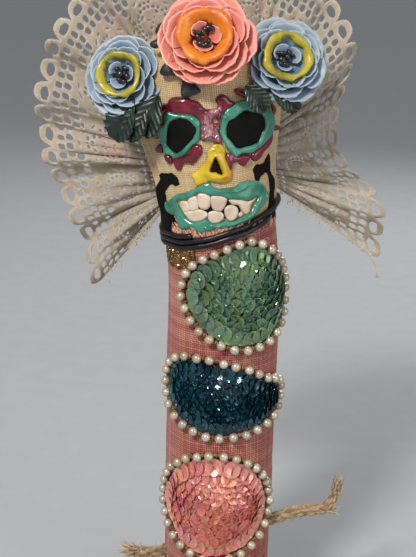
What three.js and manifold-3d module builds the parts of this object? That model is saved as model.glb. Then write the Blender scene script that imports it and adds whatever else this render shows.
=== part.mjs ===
// A day of the dead doll: a cloth-covered roll with a painted skull head, a lace halo,
// three flowers, sequin patches framed by pearl strings, and two stubs of rope for arms.
// Millimetres, +Z up. The doll faces -Y and stands on its flat underside at the origin.
import * as THREE from "three";
import { mergeVertices } from "three/addons/utils/BufferGeometryUtils.js";
import Module from "manifold-3d";

const wasm = await Module();
wasm.setup();

const V3 = THREE.Vector3;
const { lerp, smoothstep, degToRad } = THREE.MathUtils;

// Driving dimensions
const bodyRadius = 23.5;
const neckRadius = 23;
const neckPoint = new V3(-2.2, 0, 181);
const leanStart = 150;
const headLean = 8;
const headHeight = 86;
const jawHalfWidth = 24.2;
const jawHalfDepth = 22.6;
const craniumHalfWidth = 29.5;
const craniumHalfDepth = 24;
const jawBottom = 15.5;
const jawTop = 20;
const eyeLevel = 56;
const domeStart = 66;
const collarWall = 1.3;
const collarSocket = 7.2;
const faceRadius = 25;
const gap = 0.3;
const paintGap = 0.5;
const paintHeight = 1.3;
const cordRadius = 1.1;
const cordGap = 0.65;
const cordPitch = 2.35;
const cordTurns = 2.2;
const pearlRadius = 2;
const pearlPitch = 5.3;
const threadRadius = 0.5;
const patchGap = 0.8;
const sequinHeight = 1.8;
const sequinStep = 0.9;
const ropeRadius = 2.6;
const petalCount = 5;
const heartLevel = 0.28;
const laceThickness = 1.2;

const colours = {
  cloth: 0xb4604f,
  canvas: 0xc8ae82,
  cord: 0x16140f,
  glitter: 0x4a2c10,
  olive: 0x5f7850,
  petrol: 0x0f4650,
  coralSequin: 0xcf7f7c,
  pearl: 0xb8a890,
  blue: 0x6f8fb4,
  coral: 0xe07a72,
  yellow: 0xc6b01e,
  orange: 0xe0861a,
  black: 0x14120f,
  leaf: 0x1f3a33,
  rope: 0x9a866a,
  lace: 0xcdbfae,
  teal: 0x3f9076,
  crimson: 0x78142e,
  nose: 0xcfae10,
  teeth: 0xd8c8ae,
};

const doll = new THREE.Group();
const head = new THREE.Group();
head.position.copy(neckPoint);
head.rotation.y = -degToRad(headLean);
head.updateMatrix();
doll.add(head);

function material(colour, roughness, metalness = 0) {
  return new THREE.MeshStandardMaterial({ color: colour, roughness, metalness });
}

function addMesh(group, name, geometry, colour, roughness, metalness) {
  const mesh = new THREE.Mesh(geometry, material(colour, roughness, metalness));
  mesh.name = name;
  group.add(mesh);
  return mesh;
}

// One closed geometry from points and triangles, turned so that its faces point out
function closedGeometry(points, faces) {
  let volume = 0;
  for (const [a, b, c] of faces) {
    volume += points[a].dot(points[b].clone().cross(points[c]));
  }
  const order = volume < 0 ? ([a, b, c]) => [a, c, b] : (face) => face;
  const geometry = new THREE.BufferGeometry().setFromPoints(points);
  geometry.setIndex(faces.flatMap(order));
  geometry.computeVertexNormals();
  return geometry;
}

// Skin over rings of equal length: either an endless loop of them, or closed by an end point each
function loft(rings, firstTip, lastTip) {
  const count = rings[0].length;
  const points = rings.flat();
  const faces = [];
  const spans = firstTip ? rings.length - 1 : rings.length;
  for (let ring = 0; ring < spans; ring++) {
    const low = ring * count;
    const high = ((ring + 1) % rings.length) * count;
    for (let i = 0; i < count; i++) {
      const next = (i + 1) % count;
      faces.push([low + i, low + next, high + next], [low + i, high + next, high + i]);
    }
  }
  if (firstTip) {
    const last = (rings.length - 1) * count;
    const tip = points.push(firstTip, lastTip) - 2;
    for (let i = 0; i < count; i++) {
      const next = (i + 1) % count;
      faces.push([tip, next, i], [tip + 1, last + i, last + next]);
    }
  }
  return closedGeometry(points, faces);
}

// A thin closed sheet between a front and a back point for every step of u and v
function sheet(stepsU, stepsV, front, back) {
  const points = [];
  for (const side of [front, back]) {
    for (let i = 0; i <= stepsU; i++) {
      for (let j = 0; j <= stepsV; j++) points.push(side(i / stepsU, j / stepsV));
    }
  }
  const row = stepsV + 1;
  const layer = row * (stepsU + 1);
  const faces = [];
  for (let i = 0; i < stepsU; i++) {
    for (let j = 0; j < stepsV; j++) {
      const a = i * row + j;
      faces.push([a, a + 1, a + row + 1], [a, a + row + 1, a + row]);
      faces.push([layer + a, layer + a + row + 1, layer + a + 1]);
      faces.push([layer + a, layer + a + row, layer + a + row + 1]);
    }
  }
  const rim = [];
  for (let i = 0; i <= stepsU; i++) rim.push(i * row);
  for (let j = 1; j <= stepsV; j++) rim.push(stepsU * row + j);
  for (let i = stepsU - 1; i >= 0; i--) rim.push(i * row + stepsV);
  for (let j = stepsV - 1; j > 0; j--) rim.push(j);
  rim.forEach((a, k) => {
    const b = rim[(k + 1) % rim.length];
    faces.push([a, b, b + layer], [a, b + layer, a + layer]);
  });
  return closedGeometry(points, faces);
}

// Joins and cuts
function toSolid(geometry) {
  const bare = geometry.clone();
  bare.deleteAttribute("normal");
  bare.deleteAttribute("uv");
  const merged = mergeVertices(bare, 1e-4);
  return new wasm.Manifold(
    new wasm.Mesh({
      numProp: 3,
      vertProperties: merged.attributes.position.array,
      triVerts: new Uint32Array(merged.index.array),
    }),
  );
}

function toGeometry(solid) {
  const largest = solid.decompose().sort((a, b) => b.volume() - a.volume())[0];
  const mesh = largest.getMesh();
  const geometry = new THREE.BufferGeometry();
  geometry.setAttribute("position", new THREE.BufferAttribute(mesh.vertProperties, 3));
  geometry.setIndex(new THREE.BufferAttribute(mesh.triVerts, 1));
  geometry.computeVertexNormals();
  return geometry;
}

function cut(geometry, ...tools) {
  return toGeometry(tools.reduce((left, tool) => left.subtract(toSolid(tool)), toSolid(geometry)));
}

function join(...geometries) {
  return toGeometry(geometries.map(toSolid).reduce((all, one) => all.add(one)));
}

function smoothLoop(points) {
  return new THREE.CatmullRomCurve3(points.map(([x, y]) => new V3(x, y, 0)), true, "centripetal");
}

function loopNormal(loop, t) {
  const along = loop.getTangent(t);
  return new V3(along.y, -along.x, 0);
}

// Body: flat underside, round hem, a waist under the cord and a frayed collar round the jaw
function collarTop(angle) {
  const leftRise = 3 * Math.max(0, -Math.sin(angle)) ** 1.5;
  return 4 + leftRise + 0.35 * Math.sin(angle * 16);
}

function ellipseRing(halfWidth, halfDepth, height, steps) {
  return Array.from({ length: steps }, (_, i) => {
    const angle = (i / steps) * 2 * Math.PI;
    const z = typeof height === "function" ? height(angle) : height;
    return new V3(halfWidth * Math.sin(angle), -halfDepth * Math.cos(angle), z);
  });
}

// A point of the body's side: s is the distance round from the front, lift the height above it
function bodyPoint(s, z, lift) {
  const lean = Math.max(0, (z - leanStart) / (neckPoint.z - leanStart)) ** 2;
  const radius = lerp(bodyRadius, neckRadius, lean) + lift;
  const angle = s / bodyRadius;
  return new V3(lean * neckPoint.x + radius * Math.sin(angle), -radius * Math.cos(angle), z);
}

function bodyGeometry() {
  const steps = 32;
  const inner = neckRadius - collarWall;
  const shift = (lift, z) =>
    Array.from({ length: steps }, (_, i) => bodyPoint((i / steps) * 2 * Math.PI * bodyRadius, z, lift));
  const leaning = (radius, height) =>
    ellipseRing(radius, radius, height, steps).map((point) => point.applyMatrix4(head.matrix));
  const rings = [
    shift(-2.8, 0),
    shift(-0.6, 0.9),
    shift(0, 3),
    shift(0, leanStart),
    shift(0, lerp(leanStart, neckPoint.z, 0.5)),
    leaning(neckRadius, -4.5),
    leaning(neckRadius, collarTop),
    leaning(inner, collarTop),
    leaning(inner, 0),
  ];
  return loft(rings, new V3(), neckPoint.clone());
}

// Head, in its own leaning frame with z from the neck: jaw, wide cranium and dome
function headHalf(z) {
  const widen = smoothstep(z, jawTop, eyeLevel);
  const above = Math.max(0, z - domeStart) / (headHeight - domeStart);
  const round = Math.sqrt(Math.max(0, 1 - above * above));
  return [
    lerp(jawHalfWidth, craniumHalfWidth, widen) * round,
    lerp(jawHalfDepth, craniumHalfDepth, widen) * round,
  ];
}

function headGeometry(growth = 0) {
  const steps = 32;
  const inner = neckRadius - collarWall - gap;
  const rings = [
    ellipseRing(inner, inner, gap, steps),
    ellipseRing(inner, inner, collarSocket, steps),
    ellipseRing(jawHalfWidth - 1.4, jawHalfDepth - 0.5, 11.5, steps),
  ];
  for (const z of [jawBottom, 27, 37, 47, eyeLevel, domeStart, 75, 82.5]) {
    const [halfWidth, halfDepth] = headHalf(z);
    rings.push(ellipseRing(halfWidth + growth, halfDepth + growth, z, steps));
  }
  return loft(rings, new V3(0, 0, gap), new V3(0, 0, headHeight + growth));
}

// A point of the face: u is the distance round from the front, lift the height above the canvas
function headPoint(u, z, lift) {
  const angle = u / faceRadius;
  const [halfWidth, halfDepth] = headHalf(z);
  const out = new V3(Math.sin(angle) / halfWidth, -Math.cos(angle) / halfDepth, 0).normalize();
  return new V3(halfWidth * Math.sin(angle), -halfDepth * Math.cos(angle), z).addScaledVector(out, lift);
}

// A raised patch inside an outline, built from rings at [share of the outline, lift, ripple]
function raisedPatch(place, loop, layers, steps) {
  const outline = Array.from({ length: steps }, (_, i) => loop.getPoint(i / steps));
  const centre = outline.reduce((sum, p) => sum.add(p), new V3()).divideScalar(steps);
  const rings = layers.map(([share, lift, ripple = 0]) =>
    outline.map((point, i) => {
      const p = centre.clone().lerp(point, share + (i % 2 ? ripple : -ripple));
      return place(p.x, p.y, lift);
    }),
  );
  const bottom = place(centre.x, centre.y, layers[0][1]);
  const top = place(centre.x, centre.y, layers[layers.length - 1][1]);
  return loft(rings, bottom, top);
}

// A raised band of paint: for each share of the way round, inner and outer give its edges
function raisedBand(inner, outer, steps, height, wide = false) {
  const foot = wide ? 1.4 * paintGap : paintGap;
  const crown = foot + height;
  const section = [[0, foot], [0.25, crown], [0.75, crown], [1, foot]];
  if (wide) section.push([0.66, foot], [0.33, foot]);
  const rings = Array.from({ length: steps }, (_, i) => {
    const a = inner(i / steps);
    const b = outer(i / steps);
    return section.map(([share, lift]) => headPoint(lerp(a.x, b.x, share), lerp(a.y, b.y, share), lift));
  });
  return loft(rings);
}

// Eyes: a matte black socket, a teal ring round it and a scalloped crimson border
const leftSocket = smoothLoop([
  [-4.4, 44.5], [-5.6, 49], [-9, 51], [-13, 49.4], [-15.3, 44.8], [-15.4, 40.6], [-11.8, 38.2], [-7, 41],
]);
const leftRing = smoothLoop([
  [-2.2, 44.5], [-2.8, 49.8], [-6.6, 53.8], [-12.6, 54.3], [-17.3, 50.4], [-19.2, 42.6], [-14.6, 35.6],
  [-6.6, 38.8],
]);
const rightSocket = smoothLoop([
  [22.6, 43.6], [19, 48.8], [14, 50.9], [9.2, 49.2], [6.3, 45.2], [6.8, 40.6], [10.6, 37.4], [17.6, 37.2],
]);
const rightRing = smoothLoop([
  [29.2, 43.2], [24.6, 50.4], [15.6, 55.2], [8, 53.5], [4.2, 47.4], [4.9, 38.9], [9.8, 34.4], [20.4, 33.8],
]);

// Scallops of a border: [share of the way round the ring, reach, half of its width as a share]
const leftScallops = [
  [0.03, 4.5, 0.1], [0.13, 4.9, 0.1], [0.25, 5, 0.09], [0.36, 5, 0.09], [0.47, 4, 0.06],
  [0.57, 3, 0.035], [0.65, 2.8, 0.035], [0.73, 2.6, 0.04], [0.81, 3.2, 0.045], [0.9, 3, 0.05],
  [0.97, 3.6, 0.05],
];
const rightScallops = [
  [0.02, 4.4, 0.03], [0.11, 2.2, 0.04], [0.23, 4.4, 0.07], [0.35, 4.6, 0.05], [0.72, 2.2, 0.045],
  [0.79, 2.6, 0.04], [0.87, 3.2, 0.05], [0.95, 2.6, 0.04],
];
const scallopBase = 0.8;

function scallopReach(scallops, share) {
  return scallops.reduce((reach, [centre, height, half]) => {
    const away = Math.abs(((share - centre + 1.5) % 1) - 0.5) / half;
    return away < 1 ? Math.max(reach, height * Math.sqrt(1 - away * away)) : reach;
  }, scallopBase);
}

function addEye(side, socket, ring, scallops) {
  const inset = (t, by) => ring.getPoint(t).addScaledVector(loopNormal(ring, t), by);
  const top = paintGap + 0.5;
  const socketLayers = [[0.5, paintGap], [1, paintGap], [1, top], [0.5, top]];
  const socketPatch = raisedPatch(headPoint, socket, socketLayers, 14);
  const ringInner = (t) => socket.getPoint(t).addScaledVector(loopNormal(socket, t), gap);
  const ringBand = raisedBand(ringInner, (t) => ring.getPoint(t), 22, paintHeight);
  const reach = (t) => inset(t, gap + scallopReach(scallops, t));
  const border = raisedBand((t) => inset(t, gap), reach, 36, paintHeight);
  addMesh(head, `eye_socket_${side}`, socketPatch, colours.black, 0.9);
  addMesh(head, `eye_ring_${side}`, ringBand, colours.teal, 0.25);
  addMesh(head, `eye_border_${side}`, border, colours.crimson, 0.2);
}

// Nose, lips and teeth
const nostril = smoothLoop([[1.3, 34.4], [-1.1, 29.6], [1.3, 27.9], [3.7, 28]]);
const noseEdge = smoothLoop([
  [1.8, 40], [-1.4, 36.5], [-4.4, 30.4], [-8.6, 27.4], [-6.8, 24], [-1.6, 24.8], [4.6, 24], [6.8, 27.4],
  [4.6, 32.4], [4, 37.6],
]);
const mouth = smoothLoop([
  [18, 15.8], [10.6, 17.6], [2, 19.2], [-7, 20.7], [-15.4, 19.4], [-14, 13.4], [-8.6, 9.6], [0, 8.4],
  [8.6, 9.2], [14, 11.4],
]);
const lips = smoothLoop([
  [26, 16.8], [20.6, 22.8], [12, 23.2], [0.6, 22.4], [-16.6, 21], [-25, 15.8], [-17.6, 7.8], [-3, 4.8],
  [8, 5.4], [20.4, 9.8],
]);

// The point of a loop that lies in the direction of angle from a centre
function pointTowards(loop, centre, angle) {
  const whole = 2 * Math.PI;
  const turnTo = (point) => {
    const direction = Math.atan2(point.y - centre.y, point.x - centre.x);
    return Math.abs(((direction - angle + 1.5 * whole) % whole) - Math.PI);
  };
  return loop.getPoints(160).reduce((best, point) => (turnTo(point) < turnTo(best) ? point : best));
}

function addMouthBand(name, inner, outer, centre, steps, height, colour) {
  const at = (loop) => (t) => pointTowards(loop, centre, t * 2 * Math.PI);
  const band = raisedBand(at(inner), at(outer), steps, height, true);
  addMesh(head, name, band, colour, 0.25);
}

// Teeth: [u, z, half of the width, half of the height]
const upperTeeth = [
  [-13.7, 16.8, 1.2, 2], [-9.6, 17.2, 2.2, 2.7], [-4.6, 17.1, 2.3, 2.9], [1.2, 16, 2.8, 2.6],
  [9.4, 15.1, 4.4, 1.7],
];
const lowerTeeth = [
  [-7.9, 12.2, 3.7, 1.6], [-0.7, 11.6, 2.8, 1.8], [5.2, 11.4, 2.4, 1.6], [10.3, 12, 1.9, 1.2],
];

function toothGeometry([u, z, halfWidth, halfHeight]) {
  const corners = 7;
  const loop = {
    getPoint: (t) => {
      const angle = (t * corners + 0.5) * ((2 * Math.PI) / corners);
      return new V3(u + 1.06 * halfWidth * Math.cos(angle), z + 1.06 * halfHeight * Math.sin(angle), 0);
    },
  };
  return raisedPatch(headPoint, loop, [[1, paintGap], [0.78, paintGap + 1.3]], corners);
}

function addTeeth() {
  for (const [row, teeth] of [["upper", upperTeeth], ["lower", lowerTeeth]]) {
    teeth.forEach((tooth, i) => {
      addMesh(head, `tooth_${row}_${i + 1}`, toothGeometry(tooth), colours.teeth, 0.4);
    });
  }
}

// Neck cord: turns of waxed cord, lying side by side and higher on the right than the head leans
function neckCordGeometry() {
  const steps = 44;
  const sides = 5;
  const lay = neckRadius + cordGap + cordRadius;
  const start = degToRad(-100);
  const centre = (turn) => {
    const angle = start + turn * 2 * Math.PI;
    const x = neckPoint.x + lay * Math.sin(angle);
    const y = -lay * Math.cos(angle);
    const level = neckPoint.z + 6.3 + 0.29 * x + 0.13 * y;
    return new V3(x, y, level + (turn - cordTurns / 2) * cordPitch);
  };
  const rings = Array.from({ length: steps + 1 }, (_, i) => {
    const middle = centre((i / steps) * cordTurns);
    const out = new V3(middle.x - neckPoint.x, middle.y, 0).normalize();
    return Array.from({ length: sides }, (__, k) => {
      const angle = (k / sides) * 2 * Math.PI;
      const up = new V3(0, 0, cordRadius * Math.sin(angle));
      return middle.clone().addScaledVector(out, cordRadius * Math.cos(angle)).add(up);
    });
  });
  return loft(rings, centre(0), centre(cordTurns));
}

// Glitter tab, tucked under the cord on the left
function tabGeometry() {
  const from = -29;
  const to = -11.5;
  const edge = (share, lift) => {
    const s = lerp(from, to, share);
    const low = 175.2 - 5.4 * Math.sin(Math.min(1, share * 1.25 + 0.1) * Math.PI) - 0.4 * share;
    return (high) => bodyPoint(s, high ? 173 + 2.2 * share : Math.min(low, 172.6 + 2 * share), lift);
  };
  return sheet(6, 1, (u, v) => edge(u, gap + 0.9)(v), (u, v) => edge(u, gap)(v));
}

// Sequin patches, each framed by a string of pearls: [s, z] round the string's middle line
const patches = [
  {
    name: "top",
    colour: colours.olive,
    loop: smoothLoop([
      [37, 157], [31, 147], [20, 139], [8, 136.5], [-5, 141], [-14.5, 150.5], [-17.6, 160], [-12.5, 171],
      [0, 178.4], [13, 181.6], [26, 173.5],
    ]),
  },
  {
    name: "middle",
    colour: colours.petrol,
    loop: smoothLoop([
      [33.6, 109.5], [26, 104], [12, 99.6], [-5, 98.3], [-18, 103], [-27, 111.5], [-26.4, 124.5],
      [-18, 131.5], [-5, 132.3], [8, 128.9], [20, 122.4], [29, 118.5],
    ]),
  },
  {
    name: "bottom",
    colour: colours.coralSequin,
    loop: smoothLoop([
      [24.4, 64], [19, 50.5], [8, 43], [-4, 40.8], [-17, 46], [-28, 57], [-28.6, 69], [-20.5, 81.5],
      [-8, 89.2], [5, 89], [17, 80.6],
    ]),
  },
];

// The patch's face steps like scales, ring behind ring, with a zigzag round each ring
function sequinGeometry(loop) {
  const steps = 20;
  const inset = pearlRadius + 1.4;
  const outline = {
    getPoint: (t) => loop.getPoint(t).addScaledVector(loopNormal(loop, t), -inset * turnOf(loop)),
  };
  const crown = patchGap + sequinHeight;
  const layers = [[0.33, patchGap], [0.67, patchGap], [1, patchGap], [1, patchGap + 0.9]];
  for (const [share, ripple] of [[0.92, 0.03], [0.64, -0.05], [0.36, 0.06]]) {
    layers.push([share, crown, ripple], [share - 0.18, crown - sequinStep, ripple]);
  }
  return raisedPatch(bodyPoint, outline, layers, steps);
}

function turnOf(loop) {
  const points = loop.getPoints(40);
  const area = points.reduce((sum, p, i) => {
    const q = points[(i + 1) % points.length];
    return sum + p.x * q.y - q.x * p.y;
  }, 0);
  return Math.sign(area);
}

function pearlStringGeometry(loop) {
  const sides = 5;
  const beads = Math.round(loop.getLength() / pearlPitch);
  const phases = [threadRadius, pearlRadius];
  const total = beads * phases.length;
  const lift = gap + pearlRadius;
  const rings = Array.from({ length: total }, (_, i) => {
    const share = i / total;
    const middle = loop.getPointAt(share);
    const along = loop.getTangentAt(share);
    const radius = phases[i % phases.length];
    return Array.from({ length: sides }, (__, k) => {
      const angle = (k / sides) * 2 * Math.PI + Math.PI / 2;
      const aside = radius * Math.cos(angle);
      const p = middle.clone().add(new V3(along.y * aside, -along.x * aside, 0));
      return bodyPoint(p.x, p.y, lift + radius * Math.sin(angle));
    });
  });
  return loft(rings);
}

// A flower: three whorls of cupped petals, in its own frame with +Z out of the flower
function blossomGeometry(radius) {
  const steps = 20;
  const profile = [
    [0.5, 0, 0, 0], [0.66, 0.14, 0.02, 0], [0.97, 0.28, 0.07, 0], [1, 0.34, 0.08, 0],
    [0.79, 0.3, 0.03, 0.5], [0.81, 0.42, 0.07, 0.5], [0.76, 0.47, 0.08, 0.5], [0.57, 0.37, 0.03, 0],
    [0.57, 0.52, 0.06, 0], [0.5, 0.54, 0.06, 0], [0.34, heartLevel, 0, 0],
  ];
  const rings = profile.map(([reach, height, wave, phase]) =>
    Array.from({ length: steps }, (_, i) => {
      const angle = (i / steps) * 2 * Math.PI;
      const ripple = Math.cos(petalCount * angle + phase * 2 * Math.PI);
      const r = radius * (reach + wave * ripple);
      return new V3(r * Math.cos(angle), r * Math.sin(angle), radius * (height - 0.5 * wave * ripple));
    }),
  );
  return loft(rings, new V3(), new V3(0, 0, radius * heartLevel));
}

// The painted edge of the inner whorl: a wavy band that stands just clear of the petals
function ringGeometry(radius) {
  const steps = 15;
  const section = [[0.42, 0.45], [0.41, 0.63], [0.52, 0.66], [0.5, 0.58]];
  const rings = Array.from({ length: steps }, (_, i) => {
    const angle = (i / steps) * 2 * Math.PI;
    const wave = Math.cos(petalCount * angle);
    return section.map(([reach, height]) => {
      const r = radius * (reach + 0.055 * wave) - gap;
      return new V3(r * Math.cos(angle), r * Math.sin(angle), radius * (height - 0.03 * wave) + gap);
    });
  });
  return loft(rings);
}

function heartGeometry(radius) {
  const size = radius * 0.24;
  const heart = new THREE.IcosahedronGeometry(size, 0);
  heart.scale(1, 1.2, 0.6);
  heart.translate(0, 0, radius * heartLevel + gap + size * 0.6);
  return heart;
}

const flowers = [
  {
    name: "left", colour: colours.blue, ring: colours.yellow, radius: 16.6,
    centre: new V3(-31, -16, 69.5), facing: new V3(-0.24, -0.9, 0.3),
  },
  {
    name: "centre", colour: colours.coral, ring: colours.orange, radius: 19,
    centre: new V3(3.3, -26.5, 80.5), facing: new V3(0, -0.92, 0.38),
  },
  {
    name: "right", colour: colours.blue, ring: colours.yellow, radius: 17.6,
    centre: new V3(33, -16, 68.5), facing: new V3(0.24, -0.88, 0.34),
  },
];

// The room a flower needs behind its petals
function blossomClearance(radius) {
  const rows = [[0.55, -0.03], [0.74, 0.1], [1.09, 0.24], [1.12, 0.45]];
  const ringAt = ([reach, height]) => ellipseRing(reach * radius, reach * radius, height * radius, 16);
  const rings = rows.map(ringAt);
  return loft(rings, new V3(0, 0, -0.03 * radius), new V3(0, 0, 0.45 * radius));
}

function flowerPlacer({ radius, centre, facing }) {
  const out = facing.clone().normalize();
  const turn = new THREE.Quaternion().setFromUnitVectors(new V3(0, 0, 1), out);
  const base = centre.clone().addScaledVector(out, -0.4 * radius);
  return (geometry) => geometry.applyQuaternion(turn).translate(base.x, base.y, base.z);
}

function addFlowers() {
  const headTool = headGeometry(gap);
  for (const flower of flowers) {
    const { name, colour, ring, radius } = flower;
    const put = flowerPlacer(flower);
    addMesh(head, `flower_${name}`, cut(put(blossomGeometry(radius)), headTool), colour, 0.35);
    addMesh(head, `flower_ring_${name}`, put(ringGeometry(radius)), ring, 0.35);
    addMesh(head, `flower_heart_${name}`, put(heartGeometry(radius)), colours.black, 0.2);
  }
}

// Leaves, serrated and folded along the middle: from the stalk to the tip in the head's frame
const leaves = [
  { name: "left_outer", stalk: new V3(-25, -19, 60), tip: new V3(-36.5, -14, 46), width: 11 },
  { name: "left_inner", stalk: new V3(-16, -21.8, 62), tip: new V3(-23.5, -19, 46.5), width: 10 },
  { name: "curled", stalk: new V3(-6, -25, 63), tip: new V3(-18.5, -15, 84), width: 11 },
  { name: "right_inner", stalk: new V3(17, -21.4, 62), tip: new V3(24.5, -18.8, 46), width: 10 },
  { name: "right_outer", stalk: new V3(26, -18, 60), tip: new V3(36, -12.5, 48), width: 10 },
];

function leafGeometry({ stalk, tip, width }) {
  const along = tip.clone().sub(stalk);
  const out = new V3(stalk.x * 0.6, -24, 0).normalize();
  const across = new V3().crossVectors(along, out).normalize();
  const steps = 5;
  const surface = (lift) => (u, v) => {
    const side = v * 2 - 1;
    const teeth = 1 + 0.1 * Math.cos(u * steps * Math.PI);
    const half = (width / 2) * (0.18 + 0.82 * Math.sin(Math.PI * Math.min(0.98, u + 0.04)) ** 0.8) * teeth;
    const fold = 1.1 * Math.abs(side) + 0.9 * Math.sin(u * Math.PI);
    return stalk.clone().addScaledVector(along, u).addScaledVector(across, side * half)
      .addScaledVector(out, fold + lift);
  };
  return sheet(steps, 2, surface(0.7), surface(0));
}

function addLeaves() {
  const tools = flowers.map((flower) => flowerPlacer(flower)(blossomClearance(flower.radius)));
  for (const leaf of leaves) {
    const geometry = cut(leafGeometry(leaf), headGeometry(gap), ...tools);
    addMesh(head, `leaf_${leaf.name}`, geometry, colours.leaf, 0.5);
  }
}

// Rope arms: three twisted strands, frayed out at the free end
function ropeGeometry(points, radii, flatten) {
  const path = new THREE.CatmullRomCurve3(points);
  const size = new THREE.CatmullRomCurve3(radii.map((r, i) => new V3(r, flatten[i], 0)));
  const steps = 2 * points.length - 2;
  const sides = 6;
  const rings = Array.from({ length: steps + 1 }, (_, i) => {
    const share = i / steps;
    const along = path.getTangent(share);
    const aside = new V3().crossVectors(along, new V3(0, 1, 0)).normalize();
    const { x: radius, y: flat } = size.getPoint(share);
    return Array.from({ length: sides }, (__, k) => {
      const angle = (k / sides) * 2 * Math.PI + share * 3 * Math.PI;
      const r = radius * (k % 2 ? 1.08 : 0.86);
      return path.getPoint(share).addScaledVector(aside, r * Math.cos(angle))
        .add(new V3(0, flat * r * Math.sin(angle), 0));
    });
  });
  return loft(rings, path.getPoint(0), path.getPoint(1));
}

function addArms() {
  const steps = 32;
  const reach = bodyRadius + gap;
  const rings = [20, 90].map((z) => ellipseRing(reach, reach, z, steps));
  const clearance = loft(rings, new V3(0, 0, 20), new V3(0, 0, 90));
  const right = ropeGeometry(
    [new V3(19, -8, 50.5), new V3(28, -6.5, 52.6), new V3(36, -5, 54.6), new V3(44, -4.5, 55),
      new V3(50, -4.5, 59), new V3(52.6, -4.5, 66), new V3(53.6, -4.5, 72)],
    [ropeRadius, ropeRadius, ropeRadius, ropeRadius, 2.7, 2, 0.8],
    [1, 1, 1, 1, 0.9, 0.8, 0.6],
  );
  const stub = ropeGeometry(
    [new V3(45, -5, 55.6), new V3(48.5, -5.4, 55.6), new V3(52.4, -5.8, 55)],
    [1.9, 1.7, 1.2],
    [1, 0.9, 0.7],
  );
  const left = ropeGeometry(
    [new V3(-18, -6, 36), new V3(-26, -6, 33.4), new V3(-32, -6, 32.2), new V3(-37, -6, 33.2),
      new V3(-41.5, -6, 34.2)],
    [ropeRadius, ropeRadius, 2.7, 3.4, 3.9],
    [1, 1, 0.9, 0.6, 0.35],
  );
  addMesh(doll, "rope_arm_right", cut(join(right, stub), clearance), colours.rope, 0.9);
  addMesh(doll, "rope_arm_left", cut(left, clearance), colours.rope, 0.9);
}

// Lace: one strip gathered round the back of the head, from the left cut end over the top to the
// right one. The inner edge is sewn along the head, as [u, z] there, and the outer edge stands free.
const laceSeam = new THREE.CatmullRomCurve3(
  [
    [-46, 8.5], [-47.5, 16], [-48.5, 27], [-50, 42], [-54, 57], [-63, 70], [-78.5, 76], [-93, 70],
    [-102, 57], [-106.5, 42], [-108, 30], [-109, 21], [-110.5, 15],
  ].map(([u, z]) => new V3(u, z, 0)),
);
const laceOuter = new THREE.CatmullRomCurve3([
  new V3(-57, 15, 150), new V3(-62, 15, 172), new V3(-72, 15, 193), new V3(-80, 16, 215),
  new V3(-81, 17, 238), new V3(-74, 18, 260), new V3(-58, 19, 281), new V3(-34, 20, 292),
  new V3(-8, 20, 294), new V3(18, 20, 290), new V3(40, 19, 278), new V3(52, 17, 254), new V3(46, 16, 233),
  new V3(50, 15, 209), new V3(66, 15, 193), new V3(68, 14, 165),
]);
const laceScallops = 34;
const laceFolds = 13;
const laceFoldDepth = 4.5;
const laceSeamLift = 1.4;

function laceGeometry() {
  const surface = (back) => (u, v) => {
    const scallop = 1 - 0.035 * Math.abs(Math.cos(u * laceScallops * Math.PI)) ** 2;
    const seam = laceSeam.getPoint(u);
    const p = headPoint(seam.x, seam.y, laceSeamLift).applyMatrix4(head.matrix);
    p.lerp(laceOuter.getPoint(u), v * scallop);
    const fold = laceFoldDepth * (0.2 + 0.8 * v) * Math.sin(u * laceFolds * 2 * Math.PI + 3 * v);
    p.y += fold + (back ? laceThickness : 0);
    return p;
  };
  return sheet(60, 3, surface(false), surface(true));
}

addMesh(doll, "body", bodyGeometry(), colours.cloth, 0.95);
addMesh(head, "head", headGeometry(), colours.canvas, 0.9);
addMesh(doll, "neck_cord", neckCordGeometry(), colours.cord, 0.3);
addMesh(doll, "glitter_tab", tabGeometry(), colours.glitter, 0.5, 0.3);
addEye("left", leftSocket, leftRing, leftScallops);
addEye("right", rightSocket, rightRing, rightScallops);
addMouthBand("nose", nostril, noseEdge, new V3(1.4, 30, 0), 16, 1.8, colours.nose);
addMouthBand("lips", mouth, lips, new V3(1, 14.5, 0), 24, 2.2, colours.teal);
addTeeth();
for (const { name, colour, loop } of patches) {
  addMesh(doll, `sequin_patch_${name}`, sequinGeometry(loop), colour, 0.25, 0.3);
  addMesh(doll, `pearl_string_${name}`, pearlStringGeometry(loop), colours.pearl, 0.2, 0.1);
}
addFlowers();
addLeaves();
addArms();
addMesh(doll, "lace_veil", laceGeometry(), colours.lace, 0.95);

export default doll;
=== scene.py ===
"""Looks of a day of the dead doll: a cloth roll with a painted canvas skull, three moulded flowers,
a lace veil, sequin patches framed by pearls, a waxed neck cord and two stubs of rope."""
import math

import bpy
import numpy as np
from mathutils import Matrix, Vector
from mathutils.geometry import delaunay_2d_cdt


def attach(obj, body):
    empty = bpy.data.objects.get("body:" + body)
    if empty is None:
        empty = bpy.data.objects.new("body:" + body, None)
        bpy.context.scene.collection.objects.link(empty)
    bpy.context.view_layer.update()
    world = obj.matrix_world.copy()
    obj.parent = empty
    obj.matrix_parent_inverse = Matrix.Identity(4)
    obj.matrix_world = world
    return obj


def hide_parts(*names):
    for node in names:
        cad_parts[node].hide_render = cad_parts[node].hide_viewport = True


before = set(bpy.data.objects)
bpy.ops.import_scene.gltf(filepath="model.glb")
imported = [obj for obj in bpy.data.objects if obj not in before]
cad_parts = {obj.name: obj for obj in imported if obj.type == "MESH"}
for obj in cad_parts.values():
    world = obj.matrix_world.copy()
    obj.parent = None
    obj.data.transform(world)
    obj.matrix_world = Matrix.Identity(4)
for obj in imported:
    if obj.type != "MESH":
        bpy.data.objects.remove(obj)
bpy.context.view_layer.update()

# Millimetres here, as in the part's source, and metres in Blender
MM = 0.001
BODY_RADIUS = 23.5
NECK_RADIUS = 23.0
NECK = np.array([-2.2, 0.0, 181.0])
LEAN_START = 150.0
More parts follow.
